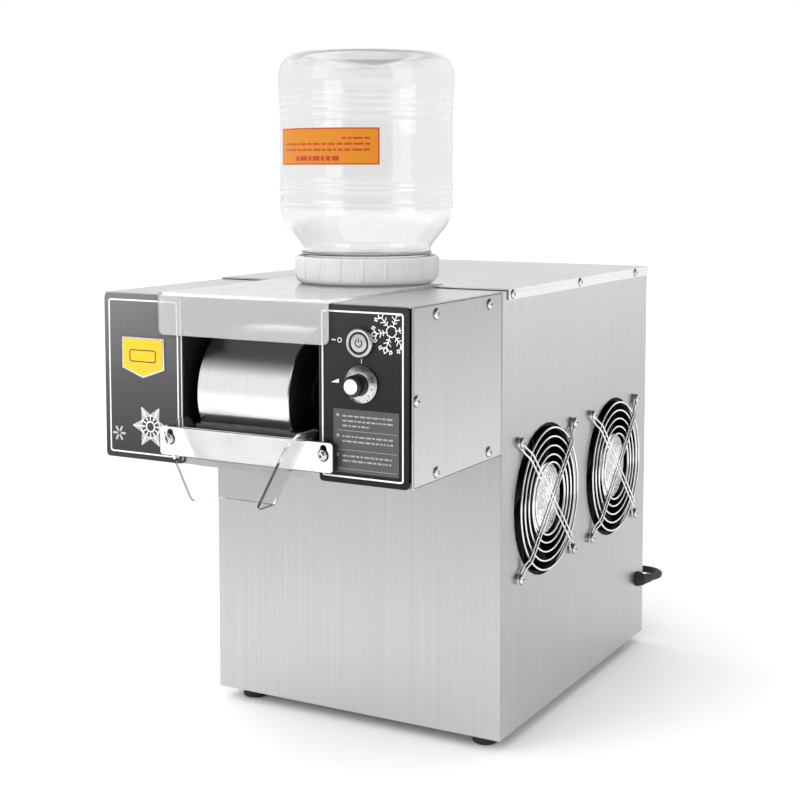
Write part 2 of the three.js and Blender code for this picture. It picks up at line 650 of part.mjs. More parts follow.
// Rises from the neck to the rounded base on top, in over the dimple, and back down the inside.
function bottle() {
  const base = LID_TOP + GAP;
  const top = base + BOTTLE_HEIGHT;
  const r = BOTTLE_RADIUS;
  const neck = BOTTLE_NECK_RADIUS;
  const wall = 1.8;
  return revolve('z', [
    [neck, base + 3], [neck, base + 24], [r - 6, base + 41], [r, base + 54], [r - 0.4, base + 72],
    [r - 0.4, base + 132.5], [r + 0.9, base + 151.2], [r - 3.2, base + 165], [r - 17.6, top], [20, top - 9],
    [0, top - 12], [0, top - 12 - wall], [20.5, top - 9 - wall], [r - 18.6, top - wall - 0.4],
    [r - 5, base + 164],
    [r - 1, base + 151], [r - 2.3, base + 132.5], [r - 2.3, base + 54.4], [r - 8, base + 42],
    [neck - wall, base + 25], [neck - wall, base + 3], [neck, base + 3],
  ], [BOTTLE_X, BOTTLE_Y, 0], 28);
}

piece('lid', lid(), CLEAR);
piece('water_inlet_cup', inletCup(), WHITE_PLASTIC);
piece('water_hose', tube([
  [BOTTLE_X, BOTTLE_Y, 305.7], [BOTTLE_X, BOTTLE_Y, 290], [BOTTLE_X, BOTTLE_Y - 4, 272], [BOTTLE_X, -10, 256],
  [BOTTLE_X, -22, HOSE_Z], [BOTTLE_X, -31.9, HOSE_Z],
], 4, 8, 12), WHITE_PLASTIC);
piece('bottle_cap', bottleCap(), FROSTED);
piece('cap_valve_plunger', valvePlunger(), WHITE_PLASTIC);
piece('water_bottle', bottle(), CLEAR);

// ---------------------------------------------------------------- mains lead
// It leaves the cabinet's right side by an elbow, goes round the rear corner and down to the floor,
// and the rest is wound into a coil behind the cabinet, with the plug beside it.
const RELIEF_START = [132.8, GLAND_Y + 2, GLAND_Z - 0.4];
const RELIEF_END = [133.8, 314.4, 60.1];
const LEAD = [
  [133.8, 315, 60], [134, 325, 58.4], [134, 336, 57], [131.4, 348, 55.8], [122, 357.6, 54.9],
  [108, 361.4, 54], [91, 360.6, 51.6], [70, 357.6, 46.6], [49, 353, 39.6], [29, 347, 31], [10, 340.6, 22.6],
  [-8, 334.6, 15],
  [-26, 329, 9], [-44, 325.8, 4.8], [-62.8, 325, 3.5],
];
// The coil is a spiral inwards on the floor with a spiral outwards on top of it.
const COIL_CENTRE = [-88, 369.9];
const COIL_RADII = [27.1, 44.9];    // innermost and outermost turn
const COIL_LAYERS = 2;
const TAIL = [
  [-62.6, 414.6, 9.2], [-50, 413.8, 7.2], [-38, 412.6, 5.2], [-26, 411.2, 5.4], [-14, 410.3, 7.6],
  [-3.6, 410, 8.7],
];
const PLUG = [-3, 410, 8.8];

function strainRelief() {
  const collar = revolve('x', [
    [0, HALF + GAP], [6.8, HALF + GAP], [6.6, HALF + 3], [5.2, HALF + 7], [3, HALF + 9], [0, HALF + 9.4],
  ], [0, GLAND_Y, GLAND_Z], 14);
  const neckStart = new THREE.Vector3(...RELIEF_START);
  const neckEnd = new THREE.Vector3(...RELIEF_END);
  const length = neckStart.distanceTo(neckEnd);
  const cone = new THREE.LatheGeometry([at(0, -3), at(4.6, -3), at(4, length), at(0, length)], 12);
  cone.applyQuaternion(new THREE.Quaternion().setFromUnitVectors(
    new THREE.Vector3(0, 1, 0), neckEnd.clone().sub(neckStart).normalize(),
  ));
  return join(collar, cone.translate(...neckStart.toArray()));
}

function cordCoil() {
  const [inner, outer] = [COIL_RADII[0] - CORD_DIAMETER / 2, COIL_RADII[1] + CORD_DIAMETER / 2];
  const top = CORD_DIAMETER * COIL_LAYERS;
  const section = [[inner, 0.1], [outer, 0.1], [outer, top], [inner, top], [inner, 0.1]];
  return revolve('z', section, [...COIL_CENTRE, 0], 32);
}

function plug() {
  const [x, y, z] = PLUG;
  const grip = revolve('x', [[0, x], [4.2, x], [5.6, x + 14], [0, x + 14]], [0, y, z], 12);
  const body = extrude('z', roundedRectangle(x + 12, y - 13, x + 42, y + 13, 4, 3), 0.2, 17.4);
  const blades = [-6.4, 6.4].map(
    (offset) => block(x + 41, x + 59, y + offset - 0.8, y + offset + 0.8, z - 1.6, z + 4.7),
  );
  const earth = revolve('x', [
    [0, x + 41], [2.4, x + 41], [2.4, x + 60], [1.4, x + 62], [0, x + 62],
  ], [0, y, z - 4.6], 10);
  return join(body, grip, ...blades, earth);
}

piece('strain_relief', strainRelief(), BLACK_RUBBER);
piece('power_cord', tube(LEAD, CORD_DIAMETER / 2, 8, 30), BLACK_RUBBER);
piece('cord_coil', cordCoil(), BLACK_RUBBER);
piece('cord_tail', tube(TAIL, CORD_DIAMETER / 2, 8, 7), BLACK_RUBBER);
piece('mains_plug', plug(), BLACK_RUBBER);

// ---------------------------------------------------------------- whole object
// The origin goes under the middle of everything but the mains lead.
const LEAD_PIECES = ['strain_relief', 'power_cord', 'cord_coil', 'cord_tail', 'mains_plug'];
const extent = new THREE.Box3();
for (const mesh of machine.children) {
  if (!LEAD_PIECES.includes(mesh.name)) extent.expandByObject(mesh);
}
const middle = extent.getCenter(new THREE.Vector3());
machine.position.set(-middle.x, -middle.y, 0);
export default machine;
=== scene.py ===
"""Looks of the shaved ice machine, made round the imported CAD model.

Lengths are millimetres in the machine's own frame: x is 0 at mid-width, y is 0 on the cabinet's
front face and z is 0 under the feet. place() turns them into metres in the row frame.
"""
import json
import math
import random

import bmesh
import bpy
from mathutils import Matrix, Vector

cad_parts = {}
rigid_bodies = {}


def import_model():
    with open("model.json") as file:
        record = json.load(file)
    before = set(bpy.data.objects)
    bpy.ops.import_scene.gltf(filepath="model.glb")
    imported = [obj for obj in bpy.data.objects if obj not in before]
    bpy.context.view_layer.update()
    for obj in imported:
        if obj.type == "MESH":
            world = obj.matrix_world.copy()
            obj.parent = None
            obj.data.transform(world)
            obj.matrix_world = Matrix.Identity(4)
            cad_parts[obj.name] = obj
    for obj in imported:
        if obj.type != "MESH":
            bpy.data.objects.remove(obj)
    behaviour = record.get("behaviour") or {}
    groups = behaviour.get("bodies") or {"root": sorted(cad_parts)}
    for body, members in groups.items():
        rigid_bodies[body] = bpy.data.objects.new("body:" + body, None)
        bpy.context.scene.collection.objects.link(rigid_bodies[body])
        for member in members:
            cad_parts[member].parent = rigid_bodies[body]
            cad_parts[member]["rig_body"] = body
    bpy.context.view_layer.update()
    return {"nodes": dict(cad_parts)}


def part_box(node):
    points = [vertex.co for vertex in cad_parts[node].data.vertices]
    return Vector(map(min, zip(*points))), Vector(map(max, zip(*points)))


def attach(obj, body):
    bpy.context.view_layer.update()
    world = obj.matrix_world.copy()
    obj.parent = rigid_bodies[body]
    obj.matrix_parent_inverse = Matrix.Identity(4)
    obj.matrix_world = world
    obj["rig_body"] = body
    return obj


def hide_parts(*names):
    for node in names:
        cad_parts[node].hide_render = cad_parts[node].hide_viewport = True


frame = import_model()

MM = 0.001
X, Y, Z = Vector((1, 0, 0)), Vector((0, 1, 0)), Vector((0, 0, 1))
front_low, front_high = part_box("cabinet_front_panel")
ORIGIN = Vector(((front_low.x + front_high.x) / 2, front_low.y, 0))


def place(x, y, z):
    """A point of the machine's frame, in metres in the row frame."""
    return ORIGIN + Vector((x, y, z)) * MM


def span(node):
    """A CAD node's lowest and highest corners, in the machine's frame."""
    low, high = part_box(node)
    return (low - ORIGIN) / MM, (high - ORIGIN) / MM


def middle_of(node):
    low, high = span(node)
    return (low + high) / 2


def body_of(node):
    return frame["nodes"][node]["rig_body"]


HOUSING = body_of("cabinet_front_panel")
WIDE = span("cabinet_right_panel")[1].x                 # the right side's outer face
FACE = span("fascia_right")[0].y                        # the control panel's front face


# ---- camera
def add_camera():
    data = bpy.data.cameras.new("camera")
    camera = bpy.data.objects.new("camera", data)
    bpy.context.scene.collection.objects.link(camera)
    camera.location = place(586, -985.4, 437.5)
    camera.rotation_euler = (math.radians(85), 0, math.radians(28.87))
    data.lens = 67.06
    data.shift_y = -0.125
    data.clip_end = 50
    bpy.context.scene.camera = camera


add_camera()


# ---- node and mesh helpers
def rgb(value, green=None, blue=None):
    """A colour from one grey or three linear values."""
    return (value, value if green is None else green, value if blue is None else blue, 1)


class Nodes:
    """Adds nodes to a tree and links them."""

    def __init__(self, tree):
        self.tree = tree

    def node(self, kind, inputs=(), **settings):
        node = self.tree.nodes.new("ShaderNode" + kind)
        for key, value in settings.items():
            setattr(node, key, value)
        for key, value in dict(inputs).items():
            if isinstance(value, bpy.types.NodeSocket):
                self.tree.links.new(value, node.inputs[key])
            else:
                node.inputs[key].default_value = value
        return node

    def ramp(self, factor, stops):
        """A colour ramp with stops [(position, colour)]."""
        node = self.node("ValToRGB", {"Fac": factor})
        elements = node.color_ramp.elements
        while len(elements) < len(stops):
            elements.new(0.5)
        for element, (position, colour) in zip(elements, stops):
            element.position = position
            element.color = colour
        return node.outputs["Color"]

    def mix(self, factor, first, second, blend="MIX"):
        return self.node("MixRGB", {"Fac": factor, "Color1": first, "Color2": second},
                         blend_type=blend).outputs["Color"]


class Surface(Nodes):
    """A Principled material with helpers that add procedural detail in the row frame's metres."""

    def __init__(self, name, colour, roughness, metallic=0.0, **sockets):
        self.material = bpy.data.materials.new(name)
        self.material.use_nodes = True
        super().__init__(self.material.node_tree)
        self.shader = self.tree.nodes["Principled BSDF"]
        self.set("Base Color", colour)
        self.set("Roughness", roughness)
        self.set("Metallic", metallic)
        for socket, value in sockets.items():
            self.set(socket.replace("_", " "), value)
        self.coordinates = self.tree.nodes.new("ShaderNodeTexCoord").outputs["Object"]

    def set(self, socket, value):
        self.shader.inputs[socket].default_value = value

    def feed(self, socket, output):
        self.tree.links.new(output, self.shader.inputs[socket])

    def noise(self, scale, detail=3, roughness=0.6, distortion=0.0):
        """Noise with its own scale along each axis, in cycles per metre."""
        scaled = self.node("Mapping", {"Vector": self.coordinates, "Scale": scale})
        return self.node("TexNoise", {
            "Vector": scaled.outputs[0], "Scale": 1.0, "Detail": detail,
            "Roughness": roughness, "Distortion": distortion,
        }).outputs["Fac"]

    def remap(self, factor, low, high):
        """The useful range of a noise, 0.3 to 0.7, stretched to low and high."""
        return self.node("MapRange", {
            "Value": factor, "From Min": 0.3, "From Max": 0.7, "To Min": low, "To Max": high,
        }).outputs["Result"]

    def bump(self, height, strength, distance):
        inputs = {"Height": height, "Strength": strength, "Distance": distance}
        return self.node("Bump", inputs).outputs["Normal"]

    def gradient(self, axis, start, end):
        """0 at start and 1 at end along an axis of the machine's frame, in millimetres."""
        parts = self.node("SeparateXYZ", {"Vector": self.coordinates})
        shift = getattr(ORIGIN, axis.lower())
        return self.node("MapRange", {
            "Value": parts.outputs[axis.upper()],
            "From Min": shift + start * MM, "From Max": shift + end * MM, "To Min": 0.0, "To Max": 1.0,
        }).outputs["Result"]


def obtain(name, mesh):
    piece = bpy.data.objects.new(name, mesh)
    bpy.context.scene.collection.objects.link(piece)
    return piece


def soften(mesh, angle=35):
    """Smooth shading, with edges sharper than the angle kept crisp."""
    mesh.polygons.foreach_set("use_smooth", [True] * len(mesh.polygons))
    mesh.set_sharp_from_angle(angle=math.radians(angle))


def dress(piece, surface, slot, body, *replaced):
    """Gives a new piece its material and its body. The slot is not used."""
    piece.data.materials.clear()
    piece.data.materials.append(surface.material)
    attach(piece, body)
    if replaced:
        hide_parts(*replaced)
    return piece


def closed_up(name, mesh, angle=35):
    """The mesh as a piece, with double points merged and its faces turned outwards."""
    work = bmesh.new()
    work.from_mesh(mesh)
    bmesh.ops.remove_doubles(work, verts=work.verts, dist=1e-7)
    bmesh.ops.recalc_face_normals(work, faces=work.faces)
    work.to_mesh(mesh)
    work.free()
    soften(mesh, angle)
    return obtain(name, mesh)


def from_faces(name, points, faces, angle=35):
    """A mesh piece from points in the machine's frame."""
    mesh = bpy.data.meshes.new(name)
    mesh.from_pydata([place(*p) for p in points], [], faces)
    return closed_up(name, mesh, angle)


def curve_data(name, dimensions, routes, cyclic):
    """Curve data of straight pieces through lists of points in metres."""
    curve = bpy.data.curves.new(name, "CURVE")
    curve.dimensions = dimensions
    for route in routes:
        spline = curve.splines.new("POLY")
        spline.points.add(len(route) - 1)
        for point, position in zip(spline.points, route):
            point.co = (*position, 1)
        spline.use_cyclic_u = cyclic
    return curve


def meshed(name, curve):
    """A curve's or a text's surface as a mesh."""
    shape = bpy.data.objects.new(name, curve)
    mesh = bpy.data.meshes.new_from_object(shape)
    mesh.name = name
    bpy.data.objects.remove(shape)
    return mesh


def turned(name, profile, start, direction=Z, steps=96, closed=False, swell=None, angle=35):
    """A profile [(radius, distance)] turned round the line from start. It ends on the axis, or it is
    closed on itself. swell(turn, distance) adds to the radius, for ribs and flutes."""
    along = Vector(direction).normalized()
    side = along.orthogonal().normalized() if abs(along.z) < 0.999 else X
    other = along.cross(side)
    points, faces, rings = [], [], []
    for radius, distance in profile:
        centre = Vector(start) + along * distance
        if radius == 0:
            rings.append([len(points)] * steps)
            points.append(centre)
            continue
        rings.append([len(points) + i for i in range(steps)])
        for i in range(steps):
            turn = 2 * math.pi * i / steps
            r = radius + (swell(turn, distance) if swell else 0)
            points.append(centre + side * r * math.cos(turn) + other * r * math.sin(turn))
    count = len(rings)
    for j in range(count if closed else count - 1):
        low, high = rings[j], rings[(j + 1) % count]
        for i in range(steps):
            k = (i + 1) % steps
            corners = list(dict.fromkeys((low[i], low[k], high[k], high[i])))
            if len(corners) > 2:
                faces.append(corners)
    return from_faces(name, points, faces, angle)


def arc(x, y, radius, start, end, steps):
    """Points of a circle's arc, with both ends, in degrees."""
    turns = [math.radians(start + (end - start) * i / steps) for i in range(steps + 1)]
    return [(x + radius * math.cos(t), y + radius * math.sin(t)) for t in turns]


def circle(x, y, radius, steps=48):
    return arc(x, y, radius, 0, 360, steps)[:-1]


def rounded(x0, y0, x1, y1, radius, steps=8):
    """A rectangle's outline with round corners."""
    corners = [(x1, y1, 0), (x0, y1, 90), (x0, y0, 180), (x1, y0, 270)]
    outline = []
    for x, y, turn in corners:
        inside_x = x - radius if x == x1 else x + radius
        inside_y = y - radius if y == y1 else y + radius
        outline += arc(inside_x, inside_y, radius, turn, turn + 90, steps)
    return outline


def plate(name, outlines, depth, origin, across=X, up=Z, bevel=0.0):
    """A flat plate from closed outlines, where an outline inside another is a hole. The plate's
    back is at origin, across and up are its plane, and it grows by depth towards across x up."""
    curve = curve_data(name, "2D", [[(u * MM, v * MM, 0) for u, v in outline] for outline in outlines], True)
    curve.fill_mode = "BOTH"
    curve.extrude = max(depth / 2 - bevel, 1e-5) * MM
    curve.bevel_depth = bevel * MM
    curve.bevel_resolution = 2
    curve.offset = -bevel * MM
    mesh = meshed(name, curve)
    across, up = Vector(across), Vector(up)
    out = across.cross(up)
    basis = Matrix((across, up, out)).transposed().to_4x4()
    basis.translation = place(*origin) + out * depth / 2 * MM
    mesh.transform(basis)
    return closed_up(name, mesh)


def gathered(name, meshes):
    """One piece from several meshes."""
    work = bmesh.new()
    for mesh in meshes:
        work.from_mesh(mesh)
    mesh = bpy.data.meshes.new(name)
    work.to_mesh(mesh)
    work.free()
    soften(mesh)
    return obtain(name, mesh)


def joined(name, parts):
    """Several mesh pieces as one."""
    meshes = [part.data for part in parts]
    for part in parts:
        bpy.data.objects.remove(part)
    return gathered(name, meshes)


def copies(name, part, moves):
    """One mesh with a copy of the part's mesh at each move, a 4 x 4 matrix in metres."""
    moved = [part.data.copy() for _ in moves]
    for mesh, move in zip(moved, moves):
        mesh.transform(move)
    bpy.data.objects.remove(part)
    return gathered(name, moved)


def shift(x, y, z):
    return Matrix.Translation(Vector((x, y, z)) * MM)


def at_origin(piece):
    """Moves a piece that was made round the machine's zero to the row frame's zero."""
    piece.data.transform(Matrix.Translation(-ORIGIN))
    return piece


def wires(name, routes, radius, cyclic=False):
    """Round wires along lists of points in the machine's frame."""
    curve = curve_data(name, "3D", [[place(*p) for p in route] for route in routes], cyclic)
    curve.bevel_depth = radius * MM
    curve.bevel_resolution = 6
    curve.use_fill_caps = not cyclic
    mesh = meshed(name, curve)
    soften(mesh, 60)
    return obtain(name, mesh)


def smooth_route(points, step):
    """A centripetal Catmull-Rom curve through the points, sampled about every step."""
    points = [Vector(p) for p in points]
    ends = [points[0] * 2 - points[1], *points, points[-1] * 2 - points[-2]]
    route = []
    for p0, p1, p2, p3 in zip(ends, ends[1:], ends[2:], ends[3:]):
        t0 = 0.0
        t1 = t0 + (p1 - p0).length ** 0.5
        t2 = t1 + (p2 - p1).length ** 0.5
        t3 = t2 + (p3 - p2).length ** 0.5
        count = max(1, round((p2 - p1).length / step))
        for i in range(count):
            t = t1 + (t2 - t1) * i / count
            a1 = p0 * ((t1 - t) / (t1 - t0)) + p1 * ((t - t0) / (t1 - t0))
            a2 = p1 * ((t2 - t) / (t2 - t1)) + p2 * ((t - t1) / (t2 - t1))
            a3 = p2 * ((t3 - t) / (t3 - t2)) + p3 * ((t - t2) / (t3 - t2))
            b1 = a1 * ((t2 - t) / (t2 - t0)) + a2 * ((t - t0) / (t2 - t0))
            b2 = a2 * ((t3 - t) / (t3 - t1)) + a3 * ((t - t1) / (t3 - t1))
            route.append(b1 * ((t2 - t) / (t2 - t1)) + b2 * ((t - t1) / (t2 - t1)))
    return [*route, points[-1]]


def refined(node, surface, slot, bevel=0.4, angle=35, segments=2):
    """A CAD node's shape with rounded edges and smooth shading, standing for the node."""
    mesh = frame["nodes"][node].data.copy()
    mesh.name = node + "_surface"
    work = bmesh.new()
    work.from_mesh(mesh)
    bmesh.ops.remove_doubles(work, verts=work.verts, dist=1e-6)
    bmesh.ops.dissolve_limit(work, angle_limit=math.radians(0.5), verts=work.verts, edges=work.edges)
    work.to_mesh(mesh)
    work.free()
    soften(mesh, angle)
    piece = obtain(node + "_surface", mesh)
    if bevel:
        rounding = piece.modifiers.new("rounding", "BEVEL")
        rounding.width = bevel * MM
        rounding.segments = segments
        rounding.limit_method = "ANGLE"
        rounding.angle_limit = math.radians(angle)
        rounding.harden_normals = True
    return dress(piece, surface, slot, body_of(node), node)


# ---- materials
def brushed_steel(name, tone=0.56, grain="z", roughness=0.3, painted_light=None):
    """Stainless sheet with a fine straight grain. The optional (low, high, stops) paints light and shade into
    the tone, as a slow change of tone with height."""
    surface = Surface(name, rgb(tone), roughness, 1.0)
    fine = {"x": (5, 2400, 2400), "y": (2400, 5, 2400), "z": (2400, 2400, 5)}[grain]
    broad = tuple(value / 9 if value > 100 else 1.2 for value in fine)
    lines = surface.noise(fine, 4, 0.75)
    bands = surface.noise(broad, 2)
    smudge = surface.noise((9, 9, 9), 4, 0.6, 0.8)
    grain_tone = surface.ramp(lines, [(0.3, rgb(tone * 0.86)), (0.5, rgb(tone)), (0.7, rgb(tone * 1.1))])
    band_tone = surface.ramp(bands, [(0.3, rgb(0.72)), (0.7, rgb(1.0))])
    banded = surface.mix(0.14, grain_tone, band_tone, "MULTIPLY")
    # painted light and shade: the tone is multiplied by a ramp along the height
    if painted_light:
        height = surface.gradient("z", painted_light[0], painted_light[1])
        painted_light_tone = surface.ramp(height, [(position, rgb(value)) for position, value in painted_light[2]])
        banded = surface.mix(1.0, banded, painted_light_tone, "MULTIPLY")
    surface.feed("Base Color", banded)
    worn = surface.mix(0.5, surface.remap(lines, roughness - 0.07, roughness + 0.09),
                       surface.remap(smudge, roughness - 0.03, roughness + 0.06))
    surface.feed("Roughness", worn)
    surface.feed("Normal", surface.bump(lines, 0.14, 0.00012))
    return surface


def turned_steel():
    """The drum's satin steel, with fine lines round its axis."""
    surface = Surface("drum_steel", rgb(0.8), 0.16, 1.0, Anisotropic=0.3)
    lines = surface.noise((2600, 4, 4), 4, 0.7)
    bands = surface.noise((320, 3, 3), 2)
    surface.feed("Base Color", surface.ramp(lines, [(0.3, rgb(0.76)), (0.7, rgb(0.85))]))
    worn = surface.mix(0.5, surface.remap(lines, 0.15, 0.24), surface.remap(bands, 0.17, 0.22))
    surface.feed("Roughness", worn)
    surface.feed("Normal", surface.bump(lines, 0.02, 0.0001))
    return surface


def bright_metal(name, colour, roughness):
    """Plated or machined metal with light handling marks."""
    surface = Surface(name, colour, roughness, 1.0)
    marks = surface.noise((420, 420, 420), 5, 0.7, 0.4)
    dull = surface.noise((60, 60, 60), 3)
    deep = tuple(c * 0.8 for c in colour[:3]) + (1,)
    surface.feed("Base Color", surface.ramp(dull, [(0.32, deep), (0.6, colour)]))
    surface.feed("Roughness", surface.remap(marks, roughness * 0.7, roughness * 1.6))
    surface.feed("Normal", surface.bump(marks, 0.05, 0.00008))
    return surface


def moulded(name, colour, roughness=0.45, grain=0.25, scale=1400, **sockets):
    """Moulded plastic or rubber with a fine spark-eroded texture."""
    surface = Surface(name, colour, roughness, 0.0, **sockets)
    texture = surface.noise((scale, scale, scale), 2, 0.5)
    cloud = surface.noise((38, 38, 38), 3)
    lighter = tuple(min(1, c * 1.18 + 0.002) for c in colour[:3]) + (1,)
    surface.feed("Base Color", surface.ramp(cloud, [(0.3, colour), (0.75, lighter)]))
    surface.feed("Roughness", surface.remap(cloud, roughness - 0.06, roughness + 0.08))
    surface.feed("Normal", surface.bump(texture, grain, 0.00008))
    return surface


def fascia_film():
    """Dark glossy film with a fine vertical line pattern, with painted light that makes it paler towards the
    top and the left.
    """
    surface = Surface("fascia_film", rgb(0.05), 0.3, 0.0,
                      Specular_IOR_Level=0.18, Coat_Weight=0.08, Coat_Roughness=0.1)
    lines = surface.noise((2000, 2000, 7), 3, 0.7)
    # Painted light and shade: the tone is paler towards the left and the top and darker towards the right and
    # the bottom.
    across = surface.gradient("x", -128, 126)
    height = surface.gradient("z", 228, 348)
    painted_light_stops = [(0.0, rgb(0.12)), (0.28, rgb(0.105)), (0.7, rgb(0.021)), (1.0, rgb(0.014))]
    painted_side_light = surface.ramp(across, painted_light_stops)
    height_tone = surface.ramp(height, [(0.0, rgb(0.25)), (0.45, rgb(0.6)), (1.0, rgb(1.4))])
    tone = surface.mix(1.0, painted_side_light, height_tone, "MULTIPLY")
    line_tone = surface.ramp(lines, [(0.3, rgb(0.6)), (0.7, rgb(1.3))])
    streaked = surface.mix(0.12, tone, line_tone, "MULTIPLY")
    surface.feed("Base Color", streaked)
    surface.feed("Roughness", surface.remap(lines, 0.26, 0.34))
    return surface


def clear_plastic(name, colour, roughness, ior, transmission=1.0, haze=60):
    """Clear or frosted plastic, with slight haze and moulding ripple."""
    surface = Surface(name, colour, roughness, 0.0, IOR=ior, Transmission_Weight=transmission)
    cloud = surface.noise((haze, haze, haze), 3)
    surface.feed("Roughness", surface.remap(cloud, roughness * 0.8, roughness * 1.3 + 0.01))
    surface.feed("Normal", surface.bump(surface.noise((30, 30, 12), 2), 0.05, 0.0006))
    return surface


def frosted():
    """Milky translucent plastic, a little uneven in thickness."""
    surface = Surface("frosted_cap", rgb(0.95), 0.22, 0.0, IOR=1.36, Transmission_Weight=0.5)
    cloud = surface.noise((24, 24, 40), 2)
    surface.feed("Base Color", surface.ramp(cloud, [(0.3, rgb(0.93)), (0.7, rgb(0.98))]))
    surface.feed("Roughness", surface.remap(cloud, 0.18, 0.28))
    return surface


def hub_foil():
    """A crumpled bright foil disc with dark flecks."""
    surface = Surface("hub_foil", rgb(0.85), 0.12, 1.0)
    cells = surface.node("TexVoronoi", {"Vector": surface.coordinates, "Scale": 420.0})
    flecks = surface.noise((560, 560, 560), 3, 0.7)
    surface.feed("Base Color", surface.ramp(flecks, [(0.33, rgb(0.02)), (0.4, rgb(0.9)), (0.6, rgb(0.98))]))
    surface.feed("Roughness", surface.remap(flecks, 0.06, 0.35))
    surface.feed("Normal", surface.bump(cells.outputs["Distance"], 0.5, 0.0009))
    return surface


def printed(name, colour, roughness=0.4):
    """Screen ink with slight thin spots."""
    surface = Surface(name, colour, roughness)
    spots = surface.noise((900, 900, 900), 2)
    thin = tuple(c * 0.86 for c in colour[:3]) + (1,)
    surface.feed("Base Color", surface.ramp(spots, [(0.3, thin), (0.55, colour)]))
    surface.feed("Roughness", surface.remap(spots, roughness - 0.05, roughness + 0.1))
    return surface


def board_lacquer():
    """Green solder mask with copper tracks under it."""
    surface = Surface("circuit_board", rgb(0.012, 0.075, 0.03), 0.3)
    upright = surface.node("Mapping", {"Vector": surface.coordinates, "Rotation": (math.pi / 2, 0, 0)})
    brick = surface.node("TexBrick", {
        "Vector": upright.outputs[0],
        "Scale": 120.0, "Color1": rgb(0.012, 0.075, 0.03), "Color2": rgb(0.01, 0.055, 0.025),
        "Mortar": rgb(0.09, 0.2, 0.06), "Mortar Size": 0.012,
    })
    surface.feed("Base Color", brick.outputs["Color"])
    surface.feed("Normal", surface.bump(brick.outputs["Fac"], 0.3, 0.0001))
    return surface


STEEL = brushed_steel("stainless_vertical", 0.5)
# Painted light and shade: these ramps change the steel's tone with height on the front, the sides and the
# head, so the three steels below are lit and shaded copies of one stainless.
FRONT_PAINTED_LIGHT = (10, 228, [(0, 1.0), (0.35, 0.9), (0.65, 0.77), (1, 0.66)])
SIDE_PAINTED_LIGHT = (10, 350, [(0, 0.92), (0.45, 0.7), (0.7, 0.8), (1, 1.02)])
HEAD_PAINTED_LIGHT = (228, 348, [(0, 1.0), (0.5, 0.88), (1, 0.76)])
STEEL_FRONT = brushed_steel("stainless_front_painted_light", 0.57, painted_light=FRONT_PAINTED_LIGHT)
STEEL_SIDE = brushed_steel("stainless_side_painted_light", 0.58, painted_light=SIDE_PAINTED_LIGHT)
STEEL_HEAD = brushed_steel("stainless_head_painted_light", 0.58, painted_light=HEAD_PAINTED_LIGHT)
STEEL_TOP = brushed_steel("stainless_cover", 0.82, "y")
STEEL_INNER = brushed_steel("stainless_inner", 0.45, "x", 0.38)
DRUM = turned_steel()
CHROME = bright_metal("bright_wire", rgb(0.96), 0.16)
SCREW_STEEL = bright_metal("screw_steel", rgb(0.74), 0.2)
BEZEL = bright_metal("turned_aluminium", rgb(0.6, 0.605, 0.61), 0.24)
ALUMINIUM = bright_metal("machined_aluminium", rgb(0.72, 0.73, 0.74), 0.28)
BRASS = bright_metal("brass", rgb(0.6, 0.41, 0.15), 0.28)
COPPER = bright_metal("copper", rgb(0.62, 0.27, 0.15), 0.3)
BLADE_STEEL = bright_metal("blade_steel", rgb(0.1), 0.35)
FASCIA = fascia_film()
BLACK = moulded("black_plastic", rgb(0.009), 0.42)
FAN_BLACK = moulded("fan_black", rgb(0.002), 0.6, 0.2, Specular_IOR_Level=0.12)
BLACK_GLOSS = moulded("black_gloss", rgb(0.008), 0.2, 0.05)
RUBBER = moulded("black_rubber", rgb(0.012), 0.62, 0.4, 900)
PAINT = moulded("black_paint", rgb(0.012), 0.35, 0.3, 500, Coat_Weight=0.3)
WHITE = moulded("white_plastic", rgb(0.8), 0.36, 0.12,
                Subsurface_Weight=0.08, Subsurface_Radius=(0.002, 0.002, 0.002))
PALE_BAR = moulded("pale_bar", rgb(0.8), 0.3, 0.08)
ACRYLIC = clear_plastic("clear_acrylic", rgb(0.87), 0.02, 1.09, 0.98)
LID_PLASTIC = clear_plastic("lid_plastic", rgb(0.94), 0.14, 1.3, 0.74, 25)
PET = clear_plastic("clear_pet", rgb(0.905, 0.905, 0.908), 0.02, 1.38, 1.0, 14)
FROSTED = frosted()
FOIL = hub_foil()
WHITE_INK = printed("white_ink", rgb(0.82))
FLAKE_INK = printed("pale_flake", rgb(0.45))
GREY_INK = printed("grey_ink", rgb(0.065))
PALE_INK = printed("pale_ink", rgb(0.33))
DARK_INK = printed("dark_ink", rgb(0.02))
YELLOW = printed("yellow_enamel", rgb(0.93, 0.49, 0.008), 0.25)
ORANGE = printed("orange_label", rgb(0.56, 0.19, 0.0), 0.5)
RED_INK = printed("red_ink", rgb(0.42, 0.03, 0.01), 0.4)
BOARD = board_lacquer()


# ---- mains lead
CORD_DIAMETER = 6.5
GLAND_Y, GLAND_Z = 298, 62.2
RELIEF_START = (132.8, GLAND_Y + 2, GLAND_Z - 0.4)
RELIEF_END = (133.8, 314.4, 60.1)
LEAD = [
    (133.8, 315, 60), (134, 325, 58.4), (134, 336, 57), (131.4, 348, 55.8), (122, 357.6, 54.9),
    (108, 361.4, 54), (91, 360.6, 51.6), (70, 357.6, 46.6), (49, 353, 39.6), (29, 347, 31),
    (10, 340.6, 22.6), (-8, 334.6, 15), (-26, 329, 9), (-44, 325.8, 4.8), (-62.8, 325, 3.5),
]
COIL_CENTRE = (-88, 369.9)
COIL_RADII = (27.1, 44.9)
COIL_TURNS = 5.5
TAIL = [
    (-62.6, 414.6, 9.2), (-50, 413.8, 7.2), (-38, 412.6, 5.2), (-26, 411.2, 5.4), (-14, 410.3, 7.6),
    (-3.6, 410, 8.7),
]
PLUG = Vector((-3, 410, 8.8))


